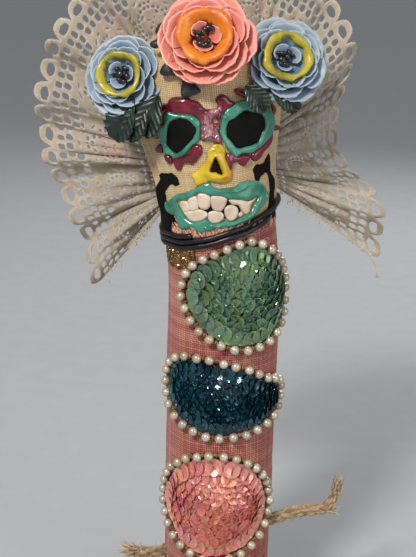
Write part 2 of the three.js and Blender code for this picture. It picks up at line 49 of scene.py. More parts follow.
HEAD_LEAN = math.radians(8)
HEAD_HEIGHT = 86.0
JAW_HALF = (24.2, 22.6)
CRANIUM_HALF = (29.5, 24.0)
JAW_TOP = 20.0
EYE_LEVEL = 56.0
DOME_START = 66.0
COLLAR_FOOT = -4.5
FACE_RADIUS = 25.0
CORD_RADIUS = 1.1
CORD_GAP = 0.65
CORD_PITCH = 2.35
CORD_TURNS = 2.2
PEARL_RADIUS = 2.0
PEARL_PITCH = 5.3
PATCH_GAP = 0.8
ROPE_RADIUS = 2.6
BODY_THREAD = 0.95
CANVAS_THREAD = 0.72

TURN = 2 * math.pi


# Camera first: the photograph's viewing angle on its frame of 416 by 557
def add_camera():
    frame_height = 557.0
    focal_pixels = 1062.0
    sensor = 36.0
    distance = 450.0
    pitch = math.radians(16)
    roll = math.radians(1.5)
    target = Vector((-7, 0, 160))
    forward = Vector((0, math.cos(pitch), -math.sin(pitch)))
    level = Vector((1, 0, 0))
    rise = level.cross(forward)
    right = level * math.cos(roll) + rise * math.sin(roll)
    up = rise * math.cos(roll) - level * math.sin(roll)
    data = bpy.data.cameras.new("camera")
    data.lens = focal_pixels * sensor / frame_height
    data.sensor_width = sensor
    data.clip_start = 0.01
    data.clip_end = 200
    camera = bpy.data.objects.new("camera", data)
    bpy.context.scene.collection.objects.link(camera)
    turn = Matrix((right, up, -forward)).transposed().to_4x4()
    camera.matrix_world = Matrix.Translation((target - forward * distance) * MM) @ turn
    bpy.context.scene.camera = camera


def mix(a, b, share):
    return a + (b - a) * share


def smoothstep(low, high, value):
    t = np.clip((value - low) / (high - low), 0, 1)
    return t * t * (3 - 2 * t)


def wobble(points, size, seed=0):
    """Smooth noise from -1 to 1 at points of two or three coordinates, with bumps of about that size."""
    points = np.asarray(points, float) / size
    if points.shape[-1] == 2:
        points = np.concatenate([points, np.zeros(points.shape[:-1] + (1,))], -1)
    cell = np.floor(points).astype(np.int64)
    local = points - cell
    local = local * local * (3 - 2 * local)
    total = np.zeros(points.shape[:-1])
    for corner in range(8):
        step = np.array([corner & 1, (corner >> 1) & 1, (corner >> 2) & 1])
        at = cell + step
        key = at[..., 0] * 374761393 + at[..., 1] * 668265263 + at[..., 2] * 362437 + seed * 974711
        key = (key ^ (key >> 13)) * 1274126177 & 0xFFFFFFFF
        value = ((key ^ (key >> 16)) & 0xFFFF) / 32767.5 - 1
        total += value * np.prod(np.where(step == 1, local, 1 - local), -1)
    return total


# Places on the doll
def cloth_swell(at):
    return 0.3 * wobble(at, 21.0, 3) + 0.12 * wobble(at, 8.0, 4)


def body_point(s, z, lift=0.0):
    """A point of the roll: s is the way round from the front, lift the height above the cloth."""
    s, z, lift = np.broadcast_arrays(*(np.asarray(v, float) for v in (s, z, lift)))
    angle = s / BODY_RADIUS
    lean = np.maximum(0, (z - LEAN_START) / (NECK[2] - LEAN_START)) ** 2
    out = np.stack([np.sin(angle), -np.cos(angle), 0 * angle], -1)
    bare = out * BODY_RADIUS + np.stack([0 * z, 0 * z, z], -1)
    gather = np.exp(-(((s - 33) / 12) ** 2)) * smoothstep(148, 176, z) * 0.55 * np.sin(TURN * s / 3.4)
    radius = mix(BODY_RADIUS, NECK_RADIUS, lean) + lift + (cloth_swell(bare) + gather) * smoothstep(0, 6, z)
    return out * radius[..., None] + np.stack([lean * NECK[0], 0 * z, z], -1)


def to_world(points):
    """From the leaning head's own frame to the row's."""
    points = np.asarray(points, float)
    cos, sin = math.cos(HEAD_LEAN), math.sin(HEAD_LEAN)
    x = points[..., 0] * cos - points[..., 2] * sin
    z = points[..., 0] * sin + points[..., 2] * cos
    return np.stack([x, points[..., 1], z], -1) + NECK


def head_half(z):
    widen = smoothstep(JAW_TOP, EYE_LEVEL, z)
    above = np.clip((z - DOME_START) / (HEAD_HEIGHT - DOME_START), 0, 1)
    rounding = np.sqrt(np.maximum(0, 1 - above * above))
    return [mix(jaw, cranium, widen) * rounding for jaw, cranium in zip(JAW_HALF, CRANIUM_HALF)]


# Folds of the canvas: [u at the top, u at the bottom, z from, z to, height, width]
CANVAS_FOLDS = (
    (-29.5, -24.5, 22, 60, 1.1, 1.5), (-26.5, -26.0, 14, 52, -0.8, 1.3), (-34.0, -30.0, 12, 62, 1.3, 1.8),
    (-40.0, -36.0, 12, 60, -1.0, 1.8), (33.5, 31.5, 14, 50, 1.1, 1.4), (36.5, 35.0, 12, 56, -0.9, 1.5),
    (40.5, 39.0, 12, 58, 1.2, 1.8), (30.0, 34.5, 18, 47, -0.7, 1.2), (48.0, 44.0, 10, 60, -0.9, 2.2),
    (-48.0, -46.0, 10, 60, 0.9, 2.2), (70.0, 72.0, 10, 62, 0.8, 3.0), (-68.0, -72.0, 10, 62, 0.8, 3.0),
)


def canvas_folds(u, z):
    total = 0 * u
    for top, bottom, low, high, height, width in CANVAS_FOLDS:
        line = mix(bottom, top, np.clip((z - low) / (high - low), 0, 1))
        fade = smoothstep(low - 5, low + 7, z) * (1 - smoothstep(high - 8, high + 8, z))
        total = total + height * fade * np.exp(-(((u - line) / width) ** 2))
    return total


def head_local(u, z, lift, half):
    angle = u / FACE_RADIUS
    half_width, half_depth = half
    out = np.stack([np.sin(angle) / np.maximum(half_width, 1), -np.cos(angle) / np.maximum(half_depth, 1),
                    0 * angle], -1)
    out /= np.linalg.norm(out, axis=-1, keepdims=True)
    base = np.stack([half_width * np.sin(angle), -half_depth * np.cos(angle), z], -1)
    return base + out * lift[..., None]


def head_point(u, z, lift=0.0):
    """A point of the face: u is the way round from the front, lift the height above the canvas."""
    u, z, lift = np.broadcast_arrays(*(np.asarray(v, float) for v in (u, z, lift)))
    return to_world(head_local(u, z, lift + canvas_folds(u, z), head_half(z)))


# Meshes
class Shape:
    """Points and faces of one piece, with a value for each point where a material needs it."""

    def __init__(self):
        self.points, self.faces, self.values, self.count = [], [], {}, 0

    def add(self, points, faces, **values):
        points = np.asarray(points, float).reshape(-1, 3)
        for name in set(self.values) | set(values):
            column = self.values.setdefault(name, [])
            if not column and self.count:
                column.append(np.zeros((self.count, np.asarray(values[name]).reshape(len(points), -1).shape[1])))
            if name in values:
                column.append(np.asarray(values[name], float).reshape(len(points), -1))
            else:
                column.append(np.zeros((len(points), column[0].shape[1])))
        self.points.append(points)
        for part in faces if isinstance(faces, list) else [faces]:
            self.faces.append(np.asarray(part, int) + self.count)
        self.count += len(points)
        return self

    def build(self, name, material, smooth=True):
        mesh = bpy.data.meshes.new(name)
        faces = [row for part in self.faces for row in part.tolist()]
        mesh.from_pydata(np.concatenate(self.points) * MM, [], faces)
        kinds = {1: ("FLOAT", "value"), 3: ("FLOAT_VECTOR", "vector"), 4: ("FLOAT_COLOR", "color")}
        for key, columns in self.values.items():
            column = np.concatenate(columns)
            kind, field = kinds[column.shape[1]]
            attribute = mesh.attributes.new(key, kind, "POINT")
            attribute.data.foreach_set(field, column.astype(np.float32).ravel())
        mesh.validate()
        if smooth:
            mesh.shade_smooth()
        mesh.materials.append(material)
        obj = bpy.data.objects.new(name, mesh)
        bpy.context.scene.collection.objects.link(obj)
        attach(obj, "root")
        return obj


def dress(shape, name, material, slot, *nodes, smooth=True):
    obj = shape.build(name, material, smooth)
    if nodes:
        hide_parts(*nodes)
    return obj


def grid_faces(rows, columns, wrap_columns=False, wrap_rows=False, start=0):
    across = np.arange(columns if wrap_columns else columns - 1)
    along = np.arange(rows if wrap_rows else rows - 1)
    i, j = np.meshgrid(along, across, indexing="ij")
    next_i, next_j = (i + 1) % rows, (j + 1) % columns
    faces = np.stack([i * columns + j, i * columns + next_j, next_i * columns + next_j, next_i * columns + j], -1)
    return faces.reshape(-1, 4) + start


def fan(centre, ring):
    ring = np.asarray(ring)
    return np.stack([np.full(len(ring), centre), ring, np.roll(ring, -1)], -1)


def loft(rings, closed=False):
    """Skin over rings of equal length, closed by a fan at each end or into an endless loop."""
    rings = np.asarray(rings, float)
    count, sides = rings.shape[:2]
    points = rings.reshape(-1, 3)
    if closed:
        return points, [grid_faces(count, sides, True, True)]
    ends = np.stack([rings[0].mean(0), rings[-1].mean(0)])
    first = fan(len(points), np.arange(sides)[::-1])
    last = fan(len(points) + 1, np.arange(sides) + (count - 1) * sides)
    return np.concatenate([points, ends]), [grid_faces(count, sides, True), first, last]


def slab(front, back):
    """A closed thin sheet between two grids of points."""
    rows, columns = front.shape[:2]
    layer = rows * columns
    faces = grid_faces(rows, columns)
    rim = np.concatenate([
        np.arange(columns - 1),
        np.arange(rows - 1) * columns + columns - 1,
        (rows - 1) * columns + np.arange(columns - 1, 0, -1),
        np.arange(rows - 1, 0, -1) * columns,
    ])
    after = np.roll(rim, -1)
    wall = np.stack([after, rim, rim + layer, after + layer], -1)
    points = np.concatenate([front.reshape(-1, 3), back.reshape(-1, 3)])
    return points, [faces, faces[:, ::-1] + layer, wall]


def frames_along(path, closed=False):
    """Two directions square to a path at each of its points, turning as little as they can."""
    path = np.asarray(path, float)
    if closed:
        along = np.roll(path, -1, 0) - np.roll(path, 1, 0)
    else:
        along = np.gradient(path, axis=0)
    along /= np.maximum(np.linalg.norm(along, axis=1, keepdims=True), 1e-9)
    side = np.cross(along[0], [0.31, 0.2, 0.93])
    sides = []
    for direction in along:
        side = side - direction * side.dot(direction)
        side /= max(np.linalg.norm(side), 1e-9)
        sides.append(side)
    sides = np.array(sides)
    return sides, np.cross(along, sides), along


def tube(path, radius, sides=6, closed=False, spin=0.0):
    path = np.asarray(path, float)
    a, b, _ = frames_along(path, closed)
    angle = np.arange(sides) / sides * TURN + spin
    size = np.broadcast_to(np.asarray(radius, float).reshape(-1, 1, 1) if np.ndim(radius) == 1 else radius,
                           (len(path), sides, 1))
    ring = a[:, None] * np.cos(angle)[None, :, None] + b[:, None] * np.sin(angle)[None, :, None]
    return loft(path[:, None] + ring * size, closed)


def knotted(points, each, closed=False):
    """The centripetal spline through points, with as many samples on each stretch between two of them."""
    p = np.asarray(points, float)
    if closed:
        p = np.concatenate([p[-1:], p, p[:2]])
    else:
        p = np.concatenate([2 * p[:1] - p[1:2], p, 2 * p[-1:] - p[-2:-1]])
    dense = []
    for a, b, c, d in zip(p, p[1:], p[2:], p[3:]):
        knots = np.cumsum([0] + [max(np.linalg.norm(f - e), 1e-6) ** 0.5 for e, f in ((a, b), (b, c), (c, d))])
        t = np.linspace(knots[1], knots[2], each, endpoint=False)[:, None]
        ab = (knots[1] - t) / knots[1] * a + t / knots[1] * b
        bc = (knots[2] - t) / (knots[2] - knots[1]) * b + (t - knots[1]) / (knots[2] - knots[1]) * c
        cd = (knots[3] - t) / (knots[3] - knots[2]) * c + (t - knots[2]) / (knots[3] - knots[2]) * d
        abc = (knots[2] - t) / knots[2] * ab + t / knots[2] * bc
        bcd = (knots[3] - t) / (knots[3] - knots[1]) * bc + (t - knots[1]) / (knots[3] - knots[1]) * cd
        dense.append((knots[2] - t) / (knots[2] - knots[1]) * abc + (t - knots[1]) / (knots[2] - knots[1]) * bcd)
    return np.concatenate(dense + [p[-2:-1]])


def curve(points, steps, closed=False):
    """A smooth path through points, sampled at about equal steps."""
    dense = knotted(points, 12, closed)
    way = np.concatenate([[0], np.cumsum(np.linalg.norm(np.diff(dense, axis=0), axis=1))])
    at = np.linspace(0, way[-1], steps + 1 if closed else steps)
    if closed:
        at = at[:-1]
    return np.stack([np.interp(at, way, dense[:, k]) for k in range(dense.shape[1])], -1)


def length_of(path, closed=False):
    path = np.concatenate([path, path[:1]]) if closed else path
    return np.linalg.norm(np.diff(path, axis=0), axis=1).sum()


def ball(centre, radii, segments=12, rings=8, turn=None):
    polar = np.linspace(0, math.pi, rings + 1)[1:-1]
    angle = np.arange(segments) / segments * TURN
    ring = np.stack([
        np.sin(polar)[:, None] * np.cos(angle),
        np.sin(polar)[:, None] * np.sin(angle),
        np.cos(polar)[:, None] + 0 * angle,
    ], -1)
    points = np.concatenate([ring.reshape(-1, 3), [[0, 0, 1], [0, 0, -1]]]) * radii
    if turn is not None:
        points = points @ np.asarray(turn).T
    last = (rings - 2) * segments
    faces = [grid_faces(rings - 1, segments, True)[:, ::-1], fan(len(points) - 2, np.arange(segments)),
             fan(len(points) - 1, np.arange(segments)[::-1] + last)]
    return points + centre, faces


# Materials
def linear(code):
    """A colour code of six digits as Blender's linear values."""
    values = [int(code[i:i + 2], 16) / 255 for i in (0, 2, 4)]
    return [v / 12.92 if v <= 0.04045 else ((v + 0.055) / 1.055) ** 2.4 for v in values] + [1]


class Look:
    """A node material around one Principled shader."""

    def __init__(self, name, **constants):
        self.material = bpy.data.materials.new(name)
        self.material.use_nodes = True
        self.tree = self.material.node_tree
        self.shader = self.tree.nodes["Principled BSDF"]
        for key, value in constants.items():
            self.shader.inputs[key.replace("_", " ").title().replace("Ior", "IOR")].default_value = value

    def node(self, kind, *inputs, output=0, **settings):
        made = self.tree.nodes.new("ShaderNode" + kind)
        named = settings.pop("named", {})
        for key, value in settings.items():
            setattr(made, key, value)
        for place, value in list(enumerate(inputs)) + list(named.items()):
            if value is None:
                continue
            if isinstance(value, bpy.types.NodeSocket):
                self.tree.links.new(value, made.inputs[place])
            else:
                made.inputs[place].default_value = value
        return made.outputs[output]

    def math(self, operation, *inputs):
        return self.node("Math", *inputs, operation=operation)

    def value(self, name, output="Fac"):
        return self.node("Attribute", attribute_name=name, output=output)

    def place(self):
        return self.node("TexCoord", output="Object")

    def noise(self, vector, scale, detail=3.0, roughness=0.55):
        named = {"Vector": vector, "Scale": scale, "Detail": detail, "Roughness": roughness}
        return self.node("TexNoise", named=named)

    def ramp(self, factor, *stops):
        made = self.tree.nodes.new("ShaderNodeValToRGB")
        elements = made.color_ramp.elements
        while len(elements) < len(stops):
            elements.new(0.5)
        for element, (position, colour) in zip(elements, stops):
            element.position = position
            element.color = linear(colour) if isinstance(colour, str) else (colour, colour, colour, 1)
        self.tree.links.new(factor, made.inputs[0])
        return made.outputs[0]

    def blend(self, factor, a, b, mode="MIX"):
        made = self.tree.nodes.new("ShaderNodeMix")
        made.data_type = "RGBA"
        made.blend_type = mode
        for place, value in ((0, factor), (6, a), (7, b)):
            if isinstance(value, bpy.types.NodeSocket):
                self.tree.links.new(value, made.inputs[place])
            else:
                made.inputs[place].default_value = linear(value) if isinstance(value, str) else value
        return made.outputs[2]

    def set(self, place, socket):
        self.tree.links.new(socket, self.shader.inputs[place])
        return self

    def bump(self, height, strength, distance):
        named = {"Height": height, "Strength": strength, "Distance": distance * MM}
        return self.set("Normal", self.node("Bump", named=named))


def weave_height(look, x, y):
    """Height of a plain weave, where x and y count threads: round threads that pass over and under."""
    cos_x = look.math("COSINE", look.math("MULTIPLY", x, math.pi))
    cos_y = look.math("COSINE", look.math("MULTIPLY", y, math.pi))
    over = look.math("MULTIPLY_ADD", look.math("MULTIPLY", cos_x, cos_y), 0.5, 0.5)
    round_x = look.math("POWER", look.math("ABSOLUTE", cos_x), 0.6)
    round_y = look.math("POWER", look.math("ABSOLUTE", cos_y), 0.6)
    warp = look.math("MULTIPLY", round_x, over)
    weft = look.math("MULTIPLY", round_y, look.math("SUBTRACT", 1.0, over))
    return look.math("MAXIMUM", warp, weft)


def woven(name, gap, dark, light, streak, roughness, relief, thread):
    """Plain-weave cloth: painted shade in the gaps between threads, threads of uneven colour, fuzz and faint stains."""
    look = Look(name, roughness=roughness, sheen_weight=0.15, sheen_roughness=0.5, specular_ior_level=0.25)
    at = look.value("weave", "Vector")
    x = look.node("SeparateXYZ", at, output=0)
    y = look.node("SeparateXYZ", at, output=1)
    waver = look.noise(at, 0.08, 2.0)
    x = look.math("ADD", x, look.math("MULTIPLY", waver, 1.2))
    y = look.math("ADD", y, look.math("MULTIPLY", look.noise(at, 0.11, 2.0), 1.2))
    height = weave_height(look, x, y)
    across = look.node("TexWhiteNoise", None, look.math("ROUND", x), noise_dimensions="1D")
    along = look.node("TexWhiteNoise", None, look.math("ROUND", y), noise_dimensions="1D")
    threads = look.math("MULTIPLY", look.math("ADD", across, along), 0.5)
    stain = look.noise(look.place(), 38.0, 4.0)
    tone = look.math("MULTIPLY_ADD", threads, 0.45, look.math("MULTIPLY", stain, 0.6))
    body = look.ramp(tone, (0.28, dark), (0.5, light), (0.78, streak))
    # Painted shade: the gap colour darkens the low places of the weave, between the threads
    shade = look.ramp(height, (0.18, 0.0), (0.62, 1.0))
    look.set("Base Color", look.blend(shade, gap, body))
    fuzz = look.noise(at, 5.0, 2.0)
    look.bump(look.math("MULTIPLY_ADD", fuzz, 0.25, height), relief, 0.5 * thread)
    return look.material


def glossy_paint(name, dark, mid, light, roughness=0.22, coat=0.35, streak=None, level=0.5):
    """Thick craft paint: uneven pigment, a skin with faint ripples and a wet gloss."""
    look = Look(name, roughness=roughness, coat_weight=coat, coat_roughness=0.08, specular_ior_level=level)
    at = look.place()
    pigment = look.noise(at, 160.0, 5.0)
    colour = look.ramp(pigment, (0.3, dark), (0.5, mid), (0.72, light))
    # Streaks of a second colour where the streak attribute is set: painted highlights on the crimson, orange-red paint
    # on the yellow
    if streak:
        lines = look.noise(look.node("Mapping", at, None, None, (1.0, 1.0, 0.35)), 420.0, 6.0, 0.7)
        share = look.math("MULTIPLY", look.value("streak"), look.ramp(lines, (0.42, 0.0), (0.62, 1.0)))
        colour = look.blend(share, colour, streak)
    look.set("Base Color", colour)
    skin = look.math("ADD", look.noise(at, 260.0, 3.0), look.math("MULTIPLY", look.noise(at, 1100.0, 2.0), 0.25))
    look.bump(skin, 0.25, 0.5)
    return look.material


def threads_on(obj, columns, pitch, face_values):
    """Gives each face corner its place in the weave, counted in threads: whole numbers are crossings."""
    mesh = obj.data
    corner = np.empty(len(mesh.loops), int)
    mesh.loops.foreach_get("vertex_index", corner)
    sizes = np.empty(len(mesh.polygons), int)
    mesh.polygons.foreach_get("loop_total", sizes)
    face = np.repeat(np.arange(len(sizes)), sizes)
    column, row, flat = face_values[corner].T
    first = np.full(len(sizes), np.inf)
    last = np.full(len(sizes), -np.inf)
    np.minimum.at(first, face, column)
    np.maximum.at(last, face, column)
    wraps = (last - first > columns / 2)[face] & (column < columns / 2)
    place = np.stack([column + columns * wraps, row, 0 * row], -1)
    is_flat = np.ones(len(sizes))
    np.minimum.at(is_flat, face, flat)
    points = np.empty(3 * len(mesh.vertices))
    mesh.vertices.foreach_get("co", points)
    points = points.reshape(-1, 3)[corner] / (pitch * MM)
    points[:, 2] = 0
    place = np.where(is_flat[face][:, None] > 0, points, place)
    attribute = mesh.attributes.new("weave", "FLOAT_VECTOR", "CORNER")
    attribute.data.foreach_set("vector", place.astype(np.float32).ravel())


def collar_top(angle):
    return 4 + 3 * np.maximum(0, -np.sin(angle)) ** 1.5 + 0.35 * np.sin(16 * angle)


def collar_point(angle, radius, z):
    return to_world(np.stack([radius * np.sin(angle), -radius * np.cos(angle), z + 0 * angle], -1))


# The roll: cloth wrapped round it, gathered under the cord and frayed at the collar
def make_body(cloth):
    columns = 2 * round(math.pi * BODY_RADIUS / BODY_THREAD)
    s = np.arange(columns) * TURN * BODY_RADIUS / columns
    s = np.where(s > math.pi * BODY_RADIUS, s - TURN * BODY_RADIUS, s)
    angle = s / BODY_RADIUS
    foot = [body_point(s, 0 * s, radius - BODY_RADIUS) for radius in (5.0, 11.0, 16.0, 20.7)]
    foot += [body_point(s, 0.9 + 0 * s, -0.6), body_point(s, 2.0 + 0 * s, -0.15)]
    wall = [body_point(s, z + 0 * s) for z in np.arange(3.0, 165.5, BODY_THREAD)]
    neck_foot = collar_point(angle, NECK_RADIUS, COLLAR_FOOT)
    shoulder = body_point(s, 165.5 + 0 * s)
    neck_rows = 11
    neck = [mix(shoulder, neck_foot, k / neck_rows) for k in range(neck_rows)]
    top = collar_top(angle)
    rim_rows = 9
    rim = [collar_point(angle, NECK_RADIUS, mix(COLLAR_FOOT, top, k / rim_rows)) for k in range(rim_rows + 1)]
    inside = [collar_point(angle, 21.75, mix(top, 0 * top, k / 4)) for k in range(5)]
    rings = np.array(foot + wall + neck + rim + inside)
    count = len(rings)
    row, column = np.meshgrid(np.arange(count), np.arange(columns), indexing="ij")
    out = np.stack([np.sin(angle), -np.cos(angle), 0 * angle], -1)
    relief = np.where((row + column) % 2 == 0, 0.13, -0.13)
    relief[:5] = 0
    relief[-5:] = 0
    rings = rings + out[None] * relief[..., None]
    points, faces = loft(rings)
    flat = (row < 4).astype(float)
    place = np.stack([column, row, flat], -1).reshape(-1, 3)
    place = np.concatenate([place, [[0, 0, 1], [0, count, 0]]])
    obj = dress(Shape().add(points, faces[:2]), "cloth_roll", cloth, "body_cloth", "body")
    threads_on(obj, columns, BODY_THREAD, place)


def make_fringe(material):
    """Threads that stand loose along the cut edge of the collar, thickest below the chin."""
    random = np.random.default_rng(11)
    shape = Shape()
    for k in range(330):
        angle = random.normal(-0.1, 0.55) if k < 190 else random.uniform(-math.pi, math.pi)
        length = random.uniform(1.2, 3.6) if abs(angle) < 1.1 else random.uniform(0.6, 2.0)
        lean = random.normal(0, 0.35)
        rise = np.linspace(-1.5, length, 6)
        bend = random.normal(0, 0.12, 2)
        around = angle + (lean * rise + bend[0] * rise * rise) / NECK_RADIUS
        radius = NECK_RADIUS - 0.2 + random.uniform(0, 0.9) + 0.1 * rise + 0.15 * bend[1] * rise * rise
        path = collar_point(around, radius, collar_top(angle) + rise)
        thick = random.uniform(0.11, 0.24) * np.array([1, 1, 1, 0.9, 0.8, 0.5])
        points, faces = tube(path, thick, 5)
        shape.add(points, faces, tint=np.full(len(points), random.uniform(0, 1)))
    dress(shape, "collar_fringe", material, "body_cloth")


# The head: a stuffed canvas skull
def head_surface_half(z):
    """Half width and depth of the canvas, drawn in under the chin where the collar holds it."""
    half = head_half(z)
    share = smoothstep(6.6, 12.0, z)
    return [mix(21.4, value - 0.15, share) for value in half]


def make_head(canvas):
    columns = 2 * round(math.pi * FACE_RADIUS / CANVAS_THREAD)
    u = np.arange(columns) * TURN * FACE_RADIUS / columns
    u = np.where(u > math.pi * FACE_RADIUS, u - TURN * FACE_RADIUS, u)
    dome_height = HEAD_HEIGHT - DOME_START
    dome_rows = round(math.pi / 2 * 24 / CANVAS_THREAD)
    heights = list(np.arange(0.4, DOME_START, CANVAS_THREAD))
    turn = np.linspace(0, math.pi / 2, dome_rows + 1)[:-1]
    heights = np.array(heights + list(DOME_START + dome_height * np.sin(turn)))
    z = heights[:, None] + 0 * u
    row, column = np.meshgrid(np.arange(len(heights)), np.arange(columns), indexing="ij")
    relief = np.where((row + column) % 2 == 0, 0.075, -0.075)
    soft = 0.25 * wobble(np.stack([u + 0 * z, z], -1), 9.0, 7) * smoothstep(12, 24, z)
    local = head_local(u + 0 * z, z, relief + soft + canvas_folds(u + 0 * z, z), head_surface_half(z))
    points, faces = loft(to_world(local))
    obj = dress(Shape().add(points, faces), "canvas_skull", canvas, "canvas", "head")
    place = np.stack([column, row, 0 * row], -1).reshape(-1, 3)
    place = np.concatenate([place, [[0, 0, 0], [0, len(heights), 0]]])
    threads_on(obj, columns, CANVAS_THREAD, place)


# Paint: outlines are (u, z) points on the face, in millimetres
def line_distance(points, line, closed):
    line = np.asarray(line, float)
    pairs = list(zip(line, np.roll(line, -1, 0))) if closed else list(zip(line[:-1], line[1:]))
    best = np.full(len(points), np.inf)
    inside = np.zeros(len(points), bool)
    x, y = points.T
    for a, b in pairs:
        step = b - a
        t = np.clip(((points - a) @ step) / max(step @ step, 1e-9), 0, 1)
        best = np.minimum(best, ((points - a - t[:, None] * step) ** 2).sum(1))
        if a[1] != b[1]:
            crossing = ((a[1] > y) != (b[1] > y)) & (x < (b[0] - a[0]) * (y - a[1]) / (b[1] - a[1]) + a[0])
            inside ^= crossing
    best = np.sqrt(best)
    return np.where(inside, best, -best) if closed else best


def smooth_outline(outline, step=0.5):
    steps = max(12, round(length_of(np.asarray(outline, float), True) / step))
    return curve(outline, steps, closed=True)


def dome(depth, reach):
    share = np.clip(depth / reach, 0, 1)
    return np.sqrt(np.maximum(0, 1 - (1 - share) ** 2))


def paint(parts, holes=(), ridges=(), pitch=0.3, rough=0.12, seed=1, skin=0.06, mask=None):
    """A blanket of paint as a closed mesh. parts are (outline, height, reach of its rounded edge)."""
    outlines = [smooth_outline(outline) for outline, _, _ in parts]
    low = np.min([o.min(0) for o in outlines], 0) - 1
    high = np.max([o.max(0) for o in outlines], 0) + 1
    across, up = (np.arange(low[k], high[k] + pitch, pitch) for k in (0, 1))
    grid = np.stack(np.meshgrid(across, up), -1)
    rows, columns = grid.shape[:2]
    flat = grid.reshape(-1, 2)
    depths = np.array([line_distance(flat, outline, True) for outline in outlines])
    depth = depths.max(0)
    for hole in holes:
        depth = np.minimum(depth, -line_distance(flat, smooth_outline(hole), True))
    depth += rough * wobble(flat, 1.3, seed)
    height = np.max([h * dome(d, reach) for d, (_, h, reach) in zip(depths, parts)], 0)
    reach = min(r for _, _, r in parts)
    height = np.minimum(height, max(h for _, h, _ in parts) * dome(depth, reach))
    height += skin * wobble(flat, 2.3, seed + 1) * dome(depth, 1.5)
    for line, width, rise in ridges:
        line = curve(line, 6 * len(line))
        height += rise * np.exp(-((line_distance(flat, line, False) / width) ** 2)) * dome(depth, 1.0)
    height = np.maximum(height, 0.05)
    squares = grid_faces(rows, columns)
    triangles = np.concatenate([squares[:, [0, 1, 2]], squares[:, [0, 2, 3]]])
    return clip_triangles(flat, depth, height, triangles)


def clip_triangles(flat, depth, height, triangles):
    """Keeps what lies inside (depth above 0), and closes it with a flat back just under the canvas."""
    inside = depth[triangles] > 0
    count = inside.sum(1)
    total = len(flat)

    def turned(chosen, wanted):
        start = np.argmax(inside[chosen] == wanted, 1)
        return np.take_along_axis(triangles[chosen], (start[:, None] + np.arange(3)) % 3, 1)

    one = turned(count == 1, True)
    two = turned(count == 2, False)
    pairs = np.concatenate([one[:, [0, 1]], one[:, [0, 2]], two[:, [2, 0]], two[:, [1, 0]]])
    keys = pairs[:, 0] * total + pairs[:, 1]
    unique, index = np.unique(keys, return_inverse=True)
    a, b = unique // total, unique % total
    share = np.clip(depth[a] / (depth[a] - depth[b]), 0.12, 1)[:, None]
    edge = flat[a] + (flat[b] - flat[a]) * share
    index = index + total
    n, m = len(one), len(two)
    clipped = np.stack([one[:, 0], index[:n], index[n:2 * n]], -1)
    quads = np.stack([two[:, 1], two[:, 2], index[2 * n:2 * n + m], index[2 * n + m:]], -1)
    whole = triangles[count == 3]
    place = np.concatenate([flat, edge])
    lift = np.concatenate([height, np.zeros(len(edge))])
    used = np.zeros(len(place), bool)
    for faces in (whole, clipped, quads):
        used[faces.ravel()] = True
    front = np.cumsum(used) - 1
    inner = used & (np.arange(len(place)) < total)
    back = np.where(np.arange(len(place)) < total, used.sum() + np.cumsum(inner) - 1, front)
    faces = [front[f] for f in (whole, clipped, quads)] + [back[f][:, ::-1] for f in (whole, clipped, quads)]
    place, lift = np.concatenate([place[used], place[inner]]), np.concatenate([lift[used], lift[inner] * 0])
    sunk = np.arange(len(place)) >= used.sum()
    under = 0.3 + 1.6 * (1 - smoothstep(7, 14, place[:, 1]))
    lift = np.where(sunk, -under, lift)
    return place, lift, [f for f in faces if len(f)]


def paint_piece(name, material, slot, nodes, parts, base=0.0, streaks_and_highlights=(), **settings):
    place, lift, faces = paint(parts, **settings)
    points = head_point(place[:, 0], place[:, 1], lift + np.where(lift > 0, base, 0))
    streak = np.zeros(len(place))
    # Streak masks: painted highlights on the crimson borders, orange-red paint on the nose
    for centre, size in streaks_and_highlights:
        streak = np.maximum(streak, np.exp(-(((place - centre) / size) ** 2).sum(1)))
    dress(Shape().add(points, faces, streak=streak), name, material, slot, *nodes)


LEFT_ARCH = ((-17.4, 48.6), (-19.2, 49.7), (-19.3, 51.4), (-18.4, 52.7), (-16.7, 53.5), (-16, 55.4), (-14.7, 56.8),
             (-12.7, 57.5), (-11.7, 58.9), (-9.9, 59.5), (-7.8, 59.4), (-5.1, 59.1), (-3.9, 57.8), (-2, 57),
             (-0.9, 55.2), (-0.1, 54.1), (1.1, 53.6), (3.4, 53.8), (4.1, 54.5), (3.8, 55.6), (3.7, 57.2),
             (4.8, 58.5), (6.2, 58.6), (7.7, 57.5), (8.6, 56), (9.9, 55), (9.4, 54), (6.2, 52.2), (5.1, 50.9),
             (4.7, 49.5), (4.2, 47.6), (4.6, 46.4), (3.8, 44.6), (4.3, 41.9), (4.5, 40.1), (1.6, 40.3), (0, 41.5),
             (-1.4, 41.3), (-2.7, 42), (-3.2, 43.6), (-2.7, 45.1), (-2.3, 47), (-2.2, 48.9), (-3.3, 50.9),
             (-5.1, 52.3), (-8.4, 53), (-11.9, 53.4), (-13, 54.3), (-14.3, 53.4), (-14.9, 51.5), (-15.4, 49.6))
BARE_DOT = ((3.7, 48.8), (3.3, 49.6), (2.3, 49.5), (2.0, 48.6), (2.7, 48.0), (3.4, 48.1))
LEFT_LOBES = (
    ((-23.4, 45.2), (-21.7, 47.3), (-19.3, 47.8), (-18, 46.5), (-18.4, 44.1), (-20.1, 43.3), (-22.4, 43.9)),
    ((-23, 39), (-21, 40.9), (-18.9, 41.6), (-18.4, 39.7), (-19.3, 37.7), (-21.8, 37.7)),
    ((-18.9, 36.9), (-17.6, 37.6), (-15.6, 36.5), (-15.5, 34.1), (-16.6, 33.3), (-18.7, 34.3)),
)
LEFT_LOWER = ((-15, 35.5), (-14.9, 31.7), (-14.1, 30.7), (-12.5, 30.9), (-10.8, 33.2), (-8.8, 33.3), (-7.6, 32.7),
              (-6.1, 33.4), (-4.7, 35), (-3, 37), (-2.6, 38.9), (-3.2, 40.3), (-4.6, 40.7), (-6.1, 40),
              (-8, 37.4), (-10.1, 36.4), (-13.1, 36.1))
